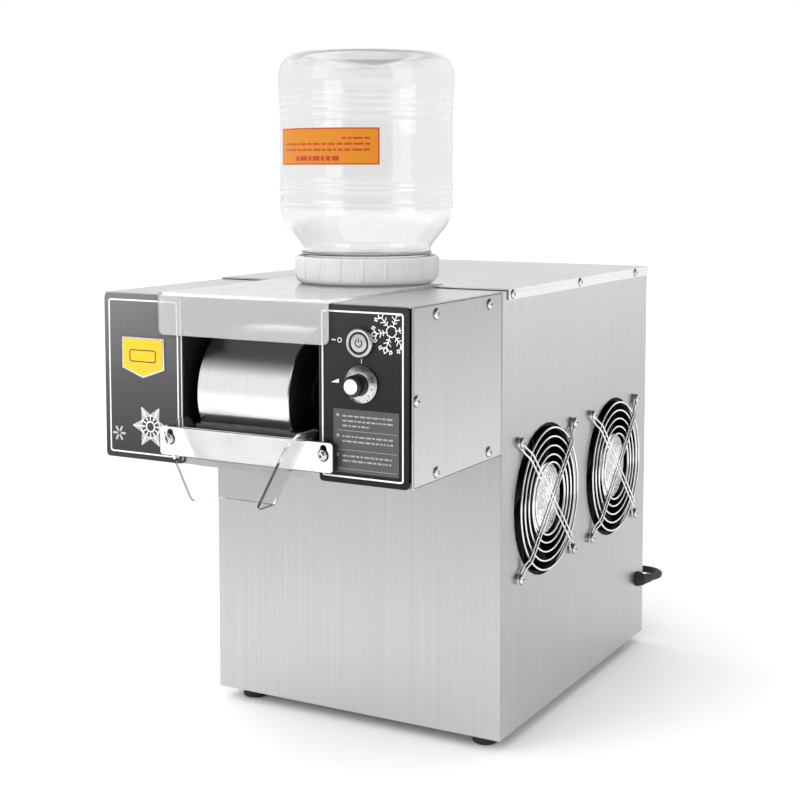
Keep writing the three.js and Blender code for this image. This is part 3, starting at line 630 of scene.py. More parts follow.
def coil_route():
    """A spiral inwards on the floor, then up and a spiral outwards on top, ending at the far side."""
    inner, outer = COIL_RADII
    low = CORD_DIAMETER / 2 + 0.15                      # the lower layer, just above the floor
    half = COIL_TURNS / 2
    steps = 48
    route = []
    for i in range(round(COIL_TURNS * steps) + 1):
        turn = i / steps
        radius = inner + (outer - inner) * abs(turn - half) / half
        climb = min(max((turn - half + 0.15) / 0.3, 0), 1)
        z = low + (CORD_DIAMETER - 0.05) * climb * climb * (3 - 2 * climb)
        angle = -math.pi / 2 - 2 * math.pi * turn
        x, y = COIL_CENTRE
        route.append(Vector((x + radius * math.cos(angle), y + radius * math.sin(angle), z)))
    return route


def add_lead():
    spiral = coil_route()
    into = smooth_route([*LEAD, spiral[0]], 5)
    out = smooth_route([spiral[-1], *TAIL], 5)
    route = [*into[:-1], *spiral, *out[1:]]
    curve = curve_data("mains_lead", "3D", [[place(*p) for p in route]], False)
    curve.bevel_depth = CORD_DIAMETER / 2 * MM
    curve.bevel_resolution = 5
    curve.use_fill_caps = True
    cord = obtain("mains_lead", curve)
    relief = add_relief()
    plug = add_plug()
    add_coil_tie()
    dress(cord, RUBBER, "rubber", body_of("power_cord"), "power_cord", "cord_coil", "cord_tail")


def add_relief():
    """A round gland on the side panel, and a ribbed sleeve that tapers along the lead."""
    start, end = Vector(RELIEF_START), Vector(RELIEF_END)
    length = (end - start).length
    side = span("cabinet_right_panel")[1].x
    gland = turned("gland", [
        (0, 0.3), (6.5, 0.3), (6.8, 0.7), (6.8, 1.8), (6.5, 2.3), (6, 2.8), (5.9, 4), (5.2, 6), (4, 7.8),
        (2.2, 9), (0, 9.3),
    ], (side, GLAND_Y, GLAND_Z), X, 48)
    profile = [(0, -3), (4.2, -3)]
    for i in range(4):
        near = 1.2 + i * 3.1
        radius = 4.6 - 0.6 * near / length
        groove = radius - 0.5
        profile += [(groove, near - 0.3), (radius, near), (radius, near + 1.7), (groove, near + 2)]
    profile += [(3.9, length - 0.4), (3.6, length), (0, length)]
    sleeve = turned("sleeve", profile, start, end - start, 40)
    relief = joined("lead_relief", [gland, sleeve])
    return dress(relief, RUBBER, "rubber", body_of("strain_relief"), "strain_relief")


def add_plug():
    """A moulded three-pin plug lying on the floor behind the machine."""
    x, y, z = PLUG
    top = span("mains_plug")[1].z
    shell = plate("plug_shell", [rounded(x + 12, -12.9, x + 41.8, 12.9, 5)], top - 0.6, (0, y, 0.3),
                  X, Y, bevel=2.2)
    neck_profile = [(0, 0)]
    for i in range(5):
        near = 0.4 + i * 2.8
        radius = 4.2 + i * 0.3
        groove = radius - 0.5
        neck_profile += [(groove, near), (radius, near + 0.4), (radius, near + 1.8), (groove, near + 2.2)]
    neck = turned("plug_neck", [*neck_profile, (5.4, 14), (0, 14)], (x, y, z), X, 32)
    ridges = [
        plate("plug_ridge", [rounded(x + 17 + i * 4, z - 5, x + 19 + i * 4, z + 5, 0.9, 4)], 26.3,
              (0, y + 13.15, 0), X, Z, bevel=0.4)
        for i in range(5)
    ]
    body = joined("mains_plug_body", [shell, neck, *ridges])
    dress(body, RUBBER, "rubber", body_of("mains_plug"), "mains_plug")
    pins = [
        plate("plug_blade", [rounded(x + 41, z - 1.6, x + 59, z + 4.7, 1.2, 4)], 1.5,
              (0, y + side * 6.4 + 0.75, 0), X, Z, bevel=0.25)
        for side in (-1, 1)
    ]
    earth = [(0, 40), (2.4, 40), (2.4, 59.5), (1.9, 61.3), (0.8, 62), (0, 62)]
    pins.append(turned("plug_earth", earth, (x, y, z - 4.6), X, 24))
    pins = joined("mains_plug_pins", pins)
    dress(pins, BRASS, "brass", body_of("mains_plug"))
    return [body, pins]


def add_coil_tie():
    """A twist tie round the coil at its left side."""
    inner, outer = COIL_RADII[0] - 3.7, COIL_RADII[1] + 3.7
    x, y = COIL_CENTRE
    loop = rounded(x - outer, 0.12, x - inner, 13.5, 3.2, 6)
    route = [(u, y, v) for u, v in loop]
    tie = wires("coil_tie", [route], 0.55, cyclic=True)
    ends = wires("tie_ends", [[(x - 33, y, 13.6), (x - 31, y + 2, 15.2), (x - 28, y + 5, 15.6)],
                              [(x - 33, y, 13.6), (x - 35, y - 3, 15), (x - 37, y - 6, 15.2)]], 0.55)
    tie = joined("coil_wire_tie", [tie, ends])
    dress(tie, BLACK_GLOSS, "black_plastic", body_of("cord_coil"))


add_lead()


# ---- shared small parts
def screw_head(name, radius, height, drive="cross"):
    """A domed screw head with a cross or hexagon recess, its back at the origin, its top along +Z."""
    dome = at_origin(turned(name + "_dome", [
        (0, 0), (radius, 0), (radius, height * 0.25), (radius * 0.9, height * 0.6),
        (radius * 0.62, height * 0.88), (radius * 0.3, height * 0.98), (0, height),
    ], (0, 0, 0), Z, 32))
    slit = rounded(-radius * 0.62, -radius * 0.1, radius * 0.62, radius * 0.1, radius * 0.04, 1)
    recess, turns, depth = slit, (0, 90), 0.48
    if drive == "hexagon":
        recess, turns, depth = circle(0, 0, radius * 0.52, 6), (0,), 0.3
    cutters = []
    for turn in turns:
        tool = at_origin(plate("tool", [recess], height, (0, 0, height * depth), X, Y))
        tool.data.transform(Matrix.Rotation(math.radians(turn), 4, "Z"))
        cutters.append(tool)
    for cutter in cutters:
        cut = dome.modifiers.new("recess", "BOOLEAN")
        cut.operation = "DIFFERENCE"
        cut.object = cutter
        cut.solver = "EXACT"
    graph = bpy.context.evaluated_depsgraph_get()
    mesh = bpy.data.meshes.new_from_object(dome.evaluated_get(graph))
    mesh.name = name
    for cutter in cutters:
        bpy.data.objects.remove(cutter)
    bpy.data.objects.remove(dome)
    soften(mesh)
    return obtain(name, mesh)


FACING = {
    "x": Matrix((Y, Z, X)).transposed().to_4x4(),       # a head's top looks along +X
    "-x": Matrix((-Y, Z, -X)).transposed().to_4x4(),
    "-y": Matrix((X, Z, -Y)).transposed().to_4x4(),
    "y": Matrix((-X, Z, Y)).transposed().to_4x4(),
    "z": Matrix.Identity(4),
}


def screws(name, places, facing, radius=3.7, height=2.0, seed=1):
    """Screw heads at places in the machine's frame, each turned by its own chance angle."""
    chance = random.Random(seed)
    moves = [
        Matrix.Translation(place(*p)) @ FACING[facing] @ Matrix.Rotation(chance.uniform(0, math.pi), 4, "Z")
        for p in places
    ]
    head = screw_head(name + "_one", radius, height)
    # Painted shade: a black ring round each head stands for its shadow on the panel, and a dark disc inside
    # the recess stands for the shade in it.
    inside, outside = radius - 0.4, radius + 0.45
    rim = turned("rim", [(inside, 0), (outside, 0), (outside, 0.12), (inside, 0.12)],
                 (0, 0, 0), Z, 24, closed=True)
    recess = plate("recess", [circle(0, 0, radius * 0.6, 16)], 0.05, (0, 0, height * 0.5), X, Y)
    shade = at_origin(joined("shade", [rim, recess]))
    dress(copies(name + "_shade", shade, moves), BLACK, "black_plastic", HOUSING)
    dress(copies(name, head, moves), SCREW_STEEL, "stainless", HOUSING)


def washers(name, places, facing, inner, outer, thickness):
    ring = at_origin(turned(name + "_one", [
        (inner, 0), (outer, 0), (outer, thickness * 0.7), (outer - thickness * 0.4, thickness),
        (inner + thickness * 0.3, thickness), (inner, thickness * 0.8),
    ], (0, 0, 0), Z, 32, closed=True))
    moves = [Matrix.Translation(place(*p)) @ FACING[facing] for p in places]
    dress(copies(name, ring, moves), SCREW_STEEL, "stainless", HOUSING)


# ---- cabinet and head
def add_cabinet():
    refined("cabinet_front_panel", STEEL_FRONT, "stainless", 0.35)
    refined("cabinet_rear_panel", STEEL, "stainless", 0.35)
    for node in ("cabinet_right_panel", "cabinet_left_panel"):
        refined(node, STEEL_SIDE, "stainless", 0.35)
    for node in ("head_right_panel", "head_left_panel"):
        refined(node, STEEL_HEAD, "stainless", 0.45, segments=3)
    refined("top_cover", STEEL_TOP, "stainless", 0.45, segments=3)
    for node in ("head_deck_left", "head_deck_right"):
        refined(node, STEEL_TOP, "stainless", 0.35)
    for node in ("head_floor", "base_pan"):
        refined(node, STEEL_INNER, "stainless", 0.3)
    refined("evaporator_chamber", BLACK, "black_plastic", 0.3)
    refined("water_tray", BLACK, "black_plastic", 0.5)


def add_case_screws():
    sides = [(-104.3, 341.3), (-21.5, 341.3), (-132.2, 286), (-103.7, 233.7), (-21.8, 234)]
    rims = [(y, 346) for y in (16, 147.6, 278)]
    for side, facing in ((1, "x"), (-1, "-x")):
        word = "right" if side > 0 else "left"
        screws(f"head_screws_{word}", [(side * WIDE, y, z) for y, z in sides], facing, seed=2 + side)
        skin = span("top_cover")[1 if side > 0 else 0].x
        screws(f"cover_screws_{word}", [(skin, y, z) for y, z in rims], facing, 3.2, 1.7, seed=6 + side)
    rear = span("cabinet_rear_panel")[1].y
    corners = [(x, rear, z) for x in (-116, 0, 116) for z in (24, 334)]
    screws("rear_screws", corners, "y", 2.9, 1.7, seed=9)


def add_seams():
    """Painted shade: thin black strips that draw the dark gaps where the head's side plates and decks meet
    the folded frame.
    """
    low, high = span("head_right_panel")
    for side, across, word in ((1, Y, "right"), (-1, -Y, "left")):
        ends = [side * (low.y + 0.9), side * -0.6]
        outer = rounded(min(ends), low.z + 0.5, max(ends), high.z - 0.7, 2.6)
        inner = rounded(min(ends) + 0.5, low.z + 1, max(ends) - 0.5, high.z - 1.2, 2.1)
        # painted shade: a black strip on the side face stands for the shadow in the gap
        shadow_gap_strip = plate("shadow_gap_strip", [outer, inner[::-1]], 0.04, (side * WIDE, 0, 0), across, Z)
        dress(shadow_gap_strip, BLACK, "black_plastic", HOUSING)
        shadow_gap_strip.name = f"head_shadow_gap_{word}"


def add_feet():
    """Ribbed rubber feet, each with a small hollow under its middle."""
    for node in ("foot_front_left", "foot_front_right", "foot_rear_left", "foot_rear_right"):
        middle = middle_of(node)
        height = span(node)[1].z
        foot = turned(node + "_rubber", [
            (3.2, 0.05), (8.6, 0.05), (9.4, 0.5), (9.9, 1.4), (9.75, 3), (9.55, 3.3), (9.6, 3.6),
            (9.4, 5.4), (9.15, 5.7), (9.25, 6), (9.0, height - 0.5), (8.5, height), (0, height), (0, 2.4),
            (3.2, 2.4),
        ], (middle.x, middle.y, 0), Z, 48, closed=True)
        dress(foot, RUBBER, "rubber", body_of(node), node)


add_cabinet()
add_case_screws()
add_seams()
add_feet()


# ---- drum, scraper and chute
def add_drum():
    low, high = span("freezing_drum")
    radius = (high.z - low.z) / 2
    body = body_of("freezing_drum")
    _, y, z = middle_of("freezing_drum")
    centre = (0, y, z)
    shell = turned("freezing_drum_shell", [
        (radius - 0.5, low.x), (radius, low.x + 0.5), (radius, high.x - 0.7), (radius - 0.7, high.x),
        (radius - 1.6, high.x), (radius - 1.6, high.x - 1.2), (13, high.x - 1.2), (13, high.x - 11),
        (8.4, high.x - 11), (8.4, high.x - 3), (radius - 3, high.x - 3), (radius - 3, low.x),
    ], centre, X, 160, closed=True)
    dress(shell, DRUM, "drum_steel", body, "freezing_drum")
    cap = turned("drum_end_seal", [
        (8.6, high.x - 1), (radius - 1.8, high.x - 1), (radius - 1.8, high.x - 0.2),
        (radius - 3, high.x + 0.3), (radius - 12, high.x + 0.3), (radius - 13, high.x - 0.1),
        (18, high.x - 0.1), (16, high.x + 1.6), (8.6, high.x + 1.6),
    ], centre, X, 96, closed=True)
    dress(cap, BLACK, "black_plastic", body)
    sleeve = turned("shaft_sleeve", [
        (8.2, high.x + 2), (10.4, high.x + 2), (10.4, high.x + 20), (9.8, high.x + 26), (8.2, high.x + 26),
    ], centre, X, 48, closed=True)
    dress(sleeve, BLACK, "black_plastic", body)
    refined("drum_shaft", SCREW_STEEL, "drum_steel", 0.3)
    refined("motor_coupling", ALUMINIUM, "aluminium", 0.4)
    refined("drum_bearing_left", WHITE, "white_plastic", 0.3)
    refined("drum_bearing_right", WHITE, "white_plastic", 0.3)
    refined("refrigerant_rotary_joint", BRASS, "brass", 0.5)
    refined("gear_motor", PAINT, "black_paint", 0.8)


def add_scraper():
    low, high = span("scraper_bar")
    nodes = ("scraper_stud_left", "scraper_stud_right")
    studs = [middle_of(node) for node in nodes]
    # A black layer behind the pale plate: it shows as dark edges at the bar's ends, and through the plate's
    # wider keyholes as painted shade round the studs.
    backing = [rounded(low.x + 0.2, low.z + 0.2, high.x, high.z - 0.2, 2.3)]
    front = [rounded(low.x, low.z, high.x - 0.4, high.z, 2.5)]
    for x, _, height in studs:
        backing.append([*arc(x, height + 4.6, 1.9, 0, 180, 8), *arc(x, height, 3.6, 122, 418, 24)])
        front.append([*arc(x, height + 4.4, 2.7, 0, 180, 12), *arc(x, height, 4.4, 128, 412, 28)])
    backing = plate("scraper_backing", backing, 4.9, (0, high.y, 0), X, Z, bevel=0.3)
    dress(backing, BLACK, "black_plastic", body_of("scraper_bar"))
    face = plate("scraper_bar_plate", front, 1.1, (0, low.y + 1.1, 0), X, Z, bevel=0.3)
    dress(face, PALE_BAR, "white_plastic", body_of("scraper_bar"), "scraper_bar")
    refined("scraper_blade", BLADE_STEEL, "blade_steel", 0.15)
    refined("ice_chute", ACRYLIC, "clear_acrylic", 0.45, segments=3)
    for node, (x, _, z) in zip(nodes, studs):
        back, face = span(node)[1].y, low.y
        reach = back - face + 1.6
        stem = turned("stem", [(0, 0), (1.6, 0), (1.6, reach), (0, reach)], (x, back, z), -Y, 24)
        head = copies("head", screw_head("head_one", 3.0, 2.2, "hexagon"),
                      [Matrix.Translation(place(x, face - 1.05, z)) @ FACING["-y"]])
        disc = turned("disc", [(1.7, 0.12), (3.5, 0.12), (3.5, 0.6), (3.3, 0.8), (2.9, 0.9), (1.7, 0.9)],
                      (x, face, z), -Y, 40, closed=True)
        stud = joined(node + "_fastener", [stem, head, disc])
        dress(stud, SCREW_STEEL, "aluminium", body_of(node), node)


add_drum()
add_scraper()


# ---- fans
SCREW_OFFSET = 52.5                                     # from a fan's axis, along y and along z
GUARD_RINGS = (56, 49, 41.8, 34.8, 28.6)


def fan_blades(name, centre, hub, tip, front, back):
    """Seven cambered blades that twist from root to tip."""
    points, faces = [], []
    blades, along, around = 7, 12, 10
    for number in range(blades):
        start = len(points)
        for i in range(along + 1):
            share = i / along
            radius = hub - 1 + (tip - hub + 1) * share
            pitch = math.radians(52 - 22 * share)
            chord = 20 + 8 * share
            sweep = 0.32 * share * share
            for side in (1, -1):
                for j in range(around + 1):
                    u = j / around - 0.5
                    camber = 2.2 * (1 - 4 * u * u)
                    thickness = side * (0.75 * (1 - 4 * u * u) ** 0.5 * (1.2 - 0.5 * share) + 0.12)
                    offset = camber + thickness
                    x = (front + back) / 2 + chord * u * math.cos(pitch) * 0.8 + offset * math.sin(pitch)
                    around_length = chord * u * math.sin(pitch) * 1.15 - offset * math.cos(pitch)
                    angle = 2 * math.pi * number / blades + sweep + around_length / radius
                    x = min(max(x, back + 0.2), front - 0.6)
                    y, z = radius * math.cos(angle), radius * math.sin(angle)
                    points.append((x, centre.y + y, centre.z + z))
        ring = 2 * (around + 1)
        order = list(range(around + 1)) + list(range(ring - 1, around, -1))
        for i in range(along):
            low, high = start + i * ring, start + (i + 1) * ring
            for a, b in zip(order, order[1:] + order[:1]):
                faces.append((low + a, low + b, high + b, high + a))
        faces.append([start + a for a in order])
        faces.append([start + along * ring + a for a in reversed(order)])
    return from_faces(name, points, faces)


def add_guard(word, centre, side):
    """Wire rings on two long wire loops, whose round ends are screwed to the side panel."""
    wire = 0.8
    high, low = side + 5, side + 1.7
    rings = [
        [(side + 3.6, centre.y + u, centre.z + v) for u, v in circle(0, 0, radius, 96)]
        for radius in GUARD_RINGS
    ]
    rings = wires("rings", rings, wire, cyclic=True)
    reach, half = SCREW_OFFSET * math.sqrt(2), 2.4
    end = [(low, u, v) for u, v in arc(reach, 0, 3.6, -110, 110, 14)]
    run = [(high, 30, half), (high, 55, half), (high - 0.4, 58, half), (low + 0.5, 63.8, half),
           (low, 66.5, half - 0.1), (low, 69, half + 0.5)]
    out = [(high, 0.3, -half), *[(x, u, -v) for x, u, v in run]]
    half_loop = [*out, *end, *reversed(run), (high, 0, half)]
    whole = [*half_loop, *[(x, -u, -v) for x, u, v in half_loop]]
    loops = []
    for turn, lift in ((45, 0.2), (-45, 0)):
        c, s = math.cos(math.radians(turn)), math.sin(math.radians(turn))
        loops.append([(x + (lift if abs(u) < 60 else 0), centre.y + u * c - v * s, centre.z + u * s + v * c)
                      for x, u, v in whole])
    loops = wires("loops", loops, wire, cyclic=True)
    guard = joined(f"{word}_guard_wires", [rings, loops])
    dress(guard, CHROME, "wire", HOUSING, f"{word}_fan_guard")
    spots = [(side + 2.75, centre.y + a * SCREW_OFFSET, centre.z + b * SCREW_OFFSET)
             for a in (-1, 1) for b in (-1, 1)]
    screws(f"{word}_guard_screws", spots, "x", 3.9, 1.9, seed=11)
    feet = [(side + 0.02, y, z) for x, y, z in spots]
    washers(f"{word}_guard_washers", feet, "x", 2.2, 4.1, 0.7)


def add_fan(word):
    low, high = span(f"{word}_fan_impeller")
    centre = middle_of(f"{word}_fan_impeller")
    hub, tip = 28.6, (high.z - low.z) / 2 - 0.4
    front = span(f"{word}_fan_frame")[1].x - 2
    body = body_of(f"{word}_fan_impeller")
    blades = fan_blades("blades", centre, hub, tip, front, low.x)
    middle = turned("hub", [
        (0, low.x), (hub, low.x), (hub, high.x - 1.6), (hub - 0.5, high.x - 0.7), (hub - 1.4, high.x - 0.3),
        (0, high.x - 0.3),
    ], (0, centre.y, centre.z), X, 72)
    impeller = joined(f"{word}_impeller", [blades, middle])
    dress(impeller, FAN_BLACK, "black_plastic", body, f"{word}_fan_impeller")
    foil = turned(f"{word}_hub_plate", [
        (0, high.x - 0.25), (hub - 1.0, high.x - 0.25), (hub - 0.8, high.x - 0.1), (hub - 1.2, high.x + 0.05),
        (hub * 0.6, high.x + 0.25), (0, high.x + 0.3),
    ], (0, centre.y, centre.z), X, 72)
    dress(foil, FOIL, "aluminium", body)
    refined(f"{word}_fan_frame", FAN_BLACK, "black_plastic", 0.4)
    add_guard(word, centre, WIDE)


add_fan("front")
add_fan("rear")


# ---- controls
def mark(name, outlines, surface, slot, depth=0.07):
    """A thin printed shape on the fascias' face, from closed outlines in x and z."""
    dress(plate(name, outlines, depth, (0, FACE + 0.01, 0), X, Z), surface, slot, HOUSING)


def stroke(u0, v0, u1, v1, width):
    """A straight line as a closed outline with square ends."""
    along = Vector((u1 - u0, v1 - v0)).normalized() * width / 2
    du, dv = -along.y, along.x
    u0, v0, u1, v1 = u0 - along.x, v0 - along.y, u1 + along.x, v1 + along.y
    return [(u0 + du, v0 + dv), (u0 - du, v0 - dv), (u1 - du, v1 - dv), (u1 + du, v1 + dv)]


def add_button():
    x, _, z = middle_of("power_button")
    start = (x, FACE, z)
    housing = turned("button_bezel", [
        (0, -24), (7.4, -24), (8, -23.4), (8, 0.3), (9.8, 0.3), (9.9, 0.7), (9.9, 3.1), (9.75, 3.7),
        (9.3, 4.1), (8.7, 4.25), (8.1, 4.2), (7.6, 3.95), (7.4, 3.5), (7.4, -11.9), (0, -12),
    ], start, -Y, 96)
    dress(housing, BEZEL, "aluminium", body_of("button_housing"), "button_housing")
    body = body_of("power_button")
    button = turned("button_cap", [
        (0, -8), (6.2, -8), (6.2, 3.3), (6.05, 3.7), (5.7, 3.9), (3, 3.97), (0, 4),
    ], start, -Y, 96)
    dress(button, BEZEL, "aluminium", body, "power_button")
    seal = turned("button_seal", [(6.45, -2), (7.35, -2), (7.35, 2.9), (6.45, 2.9)],
                  start, -Y, 72, closed=True)
    dress(seal, BLACK, "black_plastic", body_of("button_housing"))
    gap_end, gap_start = 90 + 36, 450 - 36
    ring = [*arc(x, z, 3.0, gap_end, gap_start, 28), *arc(x, z, 2.1, gap_start, gap_end, 28)]
    bar = stroke(x, z + 0.7, x, z + 2.9, 0.8)
    symbol = plate("power_symbol", [ring, bar], 0.08, (0, FACE - 3.96, 0), X, Z)
    dress(symbol, DARK_INK, "black_plastic", body)


def digit(name, text, size, matrix):
    curve = bpy.data.curves.new(name, "FONT")
    curve.body = text
    curve.size = size * MM
    curve.align_x = "CENTER"
    curve.align_y = "CENTER"
    curve.extrude = 0.03 * MM
    mesh = meshed(name, curve)
    mesh.transform(matrix)
    return obtain(name, mesh)


DIAL_START, DIAL_STEP = 240, 7.5                        # degrees: the first tick, and between ticks


def add_dial():
    low, high = span("dial_skirt")
    x, _, z = middle_of("dial_skirt")
    rim = (high.x - low.x) / 2
    start = (x, FACE, z)
    body = body_of("speed_knob")
    skirt = turned("dial_cone", [
        (7.55, 0.8), (rim - 0.2, 0.8), (rim, 1.0), (rim, 1.6), (rim - 0.25, 1.9), (8.4, 4.0),
        (7.9, 4.15), (7.55, 4.15),
    ], start, -Y, 120, closed=True)
    dress(skirt, BEZEL, "aluminium", body, "dial_skirt")
    slope = math.atan2(4.0 - 1.9, rim - 0.25 - 8.4)

    def on_cone(step, middle, lift):
        """From the origin to a place on the skirt's slope, at a tick's number and a radius."""
        turn = math.radians(DIAL_START - step * DIAL_STEP)
        height = 1.9 + (rim - 0.25 - middle) * math.tan(slope) + lift
        level = Matrix.Translation(place(*start)) @ FACING["-y"] @ Matrix.Rotation(turn, 4, "Z")
        return level @ shift(middle, 0, height) @ Matrix.Rotation(slope, 4, "Y")

    marks = []
    for i in range(41):
        long = i % 4 == 0
        inner, outer = (rim - 1.5 if long else rim - 1.1), rim - 0.4
        width = 0.36 if long else 0.22
        tick = [rounded(inner, -width / 2, outer, width / 2, 0.05, 1)]
        line = at_origin(plate("tick", tick, 0.1, (0, 0, 0), X, Y))
        middle = (inner + outer) / 2
        line.data.transform(on_cone(i, middle, 0) @ shift(-middle, 0, 0))
        marks.append(line)
    upright = Matrix.Rotation(-math.pi / 2, 4, "Z")
    for number in range(10):
        spot = on_cone(number * 4 + 2, rim - 2.7, 0.02)
        marks.append(digit("digit", str(number), 2.5, spot @ upright))
    dress(joined("dial_marks", marks), DARK_INK, "black_plastic", body)
    knob = turned("knob_grip", [
        (0, -8), (2.9, -8), (3, -7.9), (3, 0.8), (7.1, 0.8), (7.2, 1.2), (7.2, 2.6), (6.95, 3),
        (6.95, 12.2), (6.8, 13), (6.2, 13.7), (5.6, 14), (2.7, 14), (2.7, 12.6), (0, 12.5),
    ], start, -Y, 192, swell=lambda turn, d: 0.28 * abs(math.cos(turn * 12)) ** 0.6 if 2.8 < d < 13.2 else 0)
    dress(knob, BLACK_GLOSS, "black_plastic", body, "speed_knob")
    cap = turned("knob_disc", [
        (0, 13), (2.4, 13), (2.4, 14.2), (4.9, 14.2), (5, 14.4), (4.8, 14.8), (4.4, 14.98), (0, 15),
    ], start, -Y, 64)
    dress(cap, WHITE, "white_plastic", body, "knob_cap")
    refined("potentiometer_body", ALUMINIUM, "aluminium", 0.4)
    nut = turned("potentiometer_nut", [(3.2, -1.8), (5.4, -1.8), (5.4, -3.9), (3.2, -3.9)],
                 start, -Y, 6, closed=True)
    dress(nut, SCREW_STEEL, "aluminium", body_of("potentiometer_body"))
    pointer = stroke(x, z + rim + 1.6, x, z + rim + 4.2, 0.5)
    mark("dial_index", [pointer], WHITE_INK, "white_plastic")


add_button()
add_dial()


# ---- printed fascias
BORDER = 3.9                                            # from a panel's edge to its printed line
LINE = 1.15                                             # that line's width


def frame_line(x0, z0, x1, z1, radius, width):
    """A rounded rectangle's line, as its outer and inner outlines."""
    inner = rounded(x0 + width, z0 + width, x1 - width, z1 - width, radius - width * 0.6)
    return [rounded(x0, z0, x1, z1, radius), inner[::-1]]


def ring_line(x, z, outer, inner, steps=48):
    """A ring's line, as its outer and inner outlines."""
    return [circle(x, z, outer, steps), circle(x, z, inner, steps)[::-1]]


def flake(x, z, radius, arm):
    """Six copies of an arm's outlines, which run outwards from 0 to 1."""
    shapes = []
    for i in range(6):
        c, s = math.cos(math.radians(60 * i)), math.sin(math.radians(60 * i))
        for outline in arm:
            shapes.append([(x + (u * c - v * s) * radius, z + (u * s + v * c) * radius) for u, v in outline])
    return shapes


def feather_arm():
    """A leaf-shaped arm: a beaded spine with barbs that shorten towards the tip."""
    arm = [stroke(0.27, 0, 1.0, 0, 0.032)]
    for i in range(8):
        reach = 0.52 + i * 0.065
        barb = 0.31 * (1.04 - reach) / 0.52
        for side in (1, -1):
            arm.append(stroke(reach, 0, reach - barb * 0.3, side * barb, 0.032))
    for i in range(5):
        arm.append(circle(0.4 + i * 0.125, 0, 0.05 - 0.004 * i, 12))
    arm.append(stroke(0.29, 0.168, 0.42, 0.243, 0.06))
    return arm


def outlined_flake(x, z, radius, keep):
    """A snowflake drawn in thin lines with a small diamond at each tip; keep(u, v) clips it."""
    shapes = []
    width = 0.62
    def add(u0, v0, u1, v1):
        steps = max(1, math.ceil(math.hypot(u1 - u0, v1 - v0) / 0.8))
        last = None
        for k in range(steps + 1):
            u, v = u0 + (u1 - u0) * k / steps, v0 + (v1 - v0) * k / steps
            if not keep(u, v):
                break
            last = (u, v)
        if last and last != (u0, v0):
            shapes.append(stroke(u0, v0, *last, width))
    for i in range(6):
        turn = math.radians(60 * i + 10)
        c, s = math.cos(turn), math.sin(turn)
        def put(u, v):
            return (x + (u * c - v * s) * radius, z + (u * s + v * c) * radius)
        add(*put(0.22, -0.127), *put(0.22, 0.127))
        add(*put(0.22, 0), *put(0.72, 0))
        for reach, barb in ((0.36, 0.11), (0.5, 0.17), (0.72, 0.2)):
            for side in (1, -1):
                add(*put(reach, 0), *put(reach + barb * 0.6, side * barb))
        tip = [put(0.72, 0), put(0.86, 0.1), put(1, 0), put(0.86, -0.1)]
        for a, b in zip(tip, tip[1:] + tip[:1]):
            add(*a, *b)
        for side in (1, -1):
            side_tip = [put(u, side * v) for u, v in ((0.84, 0.2), (0.93, 0.26), (0.85, 0.34), (0.76, 0.27))]
            for a, b in zip(side_tip, side_tip[1:] + side_tip[:1]):
                add(*a, *b)
    return shapes


def stroked(name, shapes, surface, slot):
    """Overlapping strokes, each a hair higher than the last, as one printed piece."""
    parts = [
        plate("stroke", [shape], 0.05 + 0.0004 * i, (0, FACE + 0.01, 0), X, Z)
        for i, shape in enumerate(shapes)
    ]
    return dress(joined(name, parts), surface, slot, HOUSING)


def row_bars(x0, x1, z, height, chance):
    """Word-like bars that stand for a line of print."""
    bars, x = [], x0
    while x < x1 - 1.2:
        width = min(chance.uniform(1.4, 4.6), x1 - x)
        bars.append(rounded(x, z, x + width, z + height, height * 0.45, 3))
        x += width + 0.75
    return bars


def print_left():
    low, high = span("fascia_left")
    refined("fascia_left", FASCIA, "fascia", 0.3)
    right = high.x - 4.6
    border = frame_line(low.x + BORDER, low.z + BORDER, right + LINE, high.z - BORDER, 2.2, LINE)
    mark("fascia_left_border", border, WHITE_INK, "white_plastic")
    # Painted highlight: a white stroke along the fascia's right edge.
    mark("fascia_left_edge_highlight", [stroke(high.x - 0.75, low.z + 3, high.x - 0.75, high.z - 3, 0.7)],
         WHITE_INK, "white_plastic")
    x0, x1, z0, z1, tip = -111.2, -73, 294, 317, 287.3
    middle = (x0 + x1) / 2
    shield = [(x0, z0), (middle, tip), (x1, z0), (x1, z1), (x0, z1)]
    badge = plate("badge_rim", [shield], 0.9, (0, FACE, 0), X, Z, bevel=0.3)
    dress(badge, ALUMINIUM, "aluminium", HOUSING)
    inset = [(middle + (x - middle) * 0.925, 303 + (z - 303) * 0.91) for x, z in shield]
    face = plate("badge_face", [inset], 0.35, (0, FACE - 0.85, 0), X, Z, bevel=0.12)
    dress(face, YELLOW, "white_plastic", HOUSING)
    ridge = plate("badge_line", frame_line(-104, 299, -80, 308, 2, 0.7), 0.2, (0, FACE - 1.15, 0), X, Z)
    dress(ridge, DARK_INK, "black_plastic", HOUSING)
    x, z, radius = -86.8, 252.2, 15.6
    stroked("snowflake_large", flake(x, z, radius, feather_arm()), WHITE_INK, "white_plastic")
    mark("snowflake_ring", ring_line(x, z, radius * 0.27, radius * 0.2), WHITE_INK, "white_plastic")
    petal = [[(0.15, 0), (0.35, 0.12), (0.82, 0.16), (1, 0.07), (1, -0.07), (0.82, -0.16), (0.35, -0.12)]]
    mark("snowflake_small", flake(-115.6, 245.4, 5.9, petal), FLAKE_INK, "white_plastic")


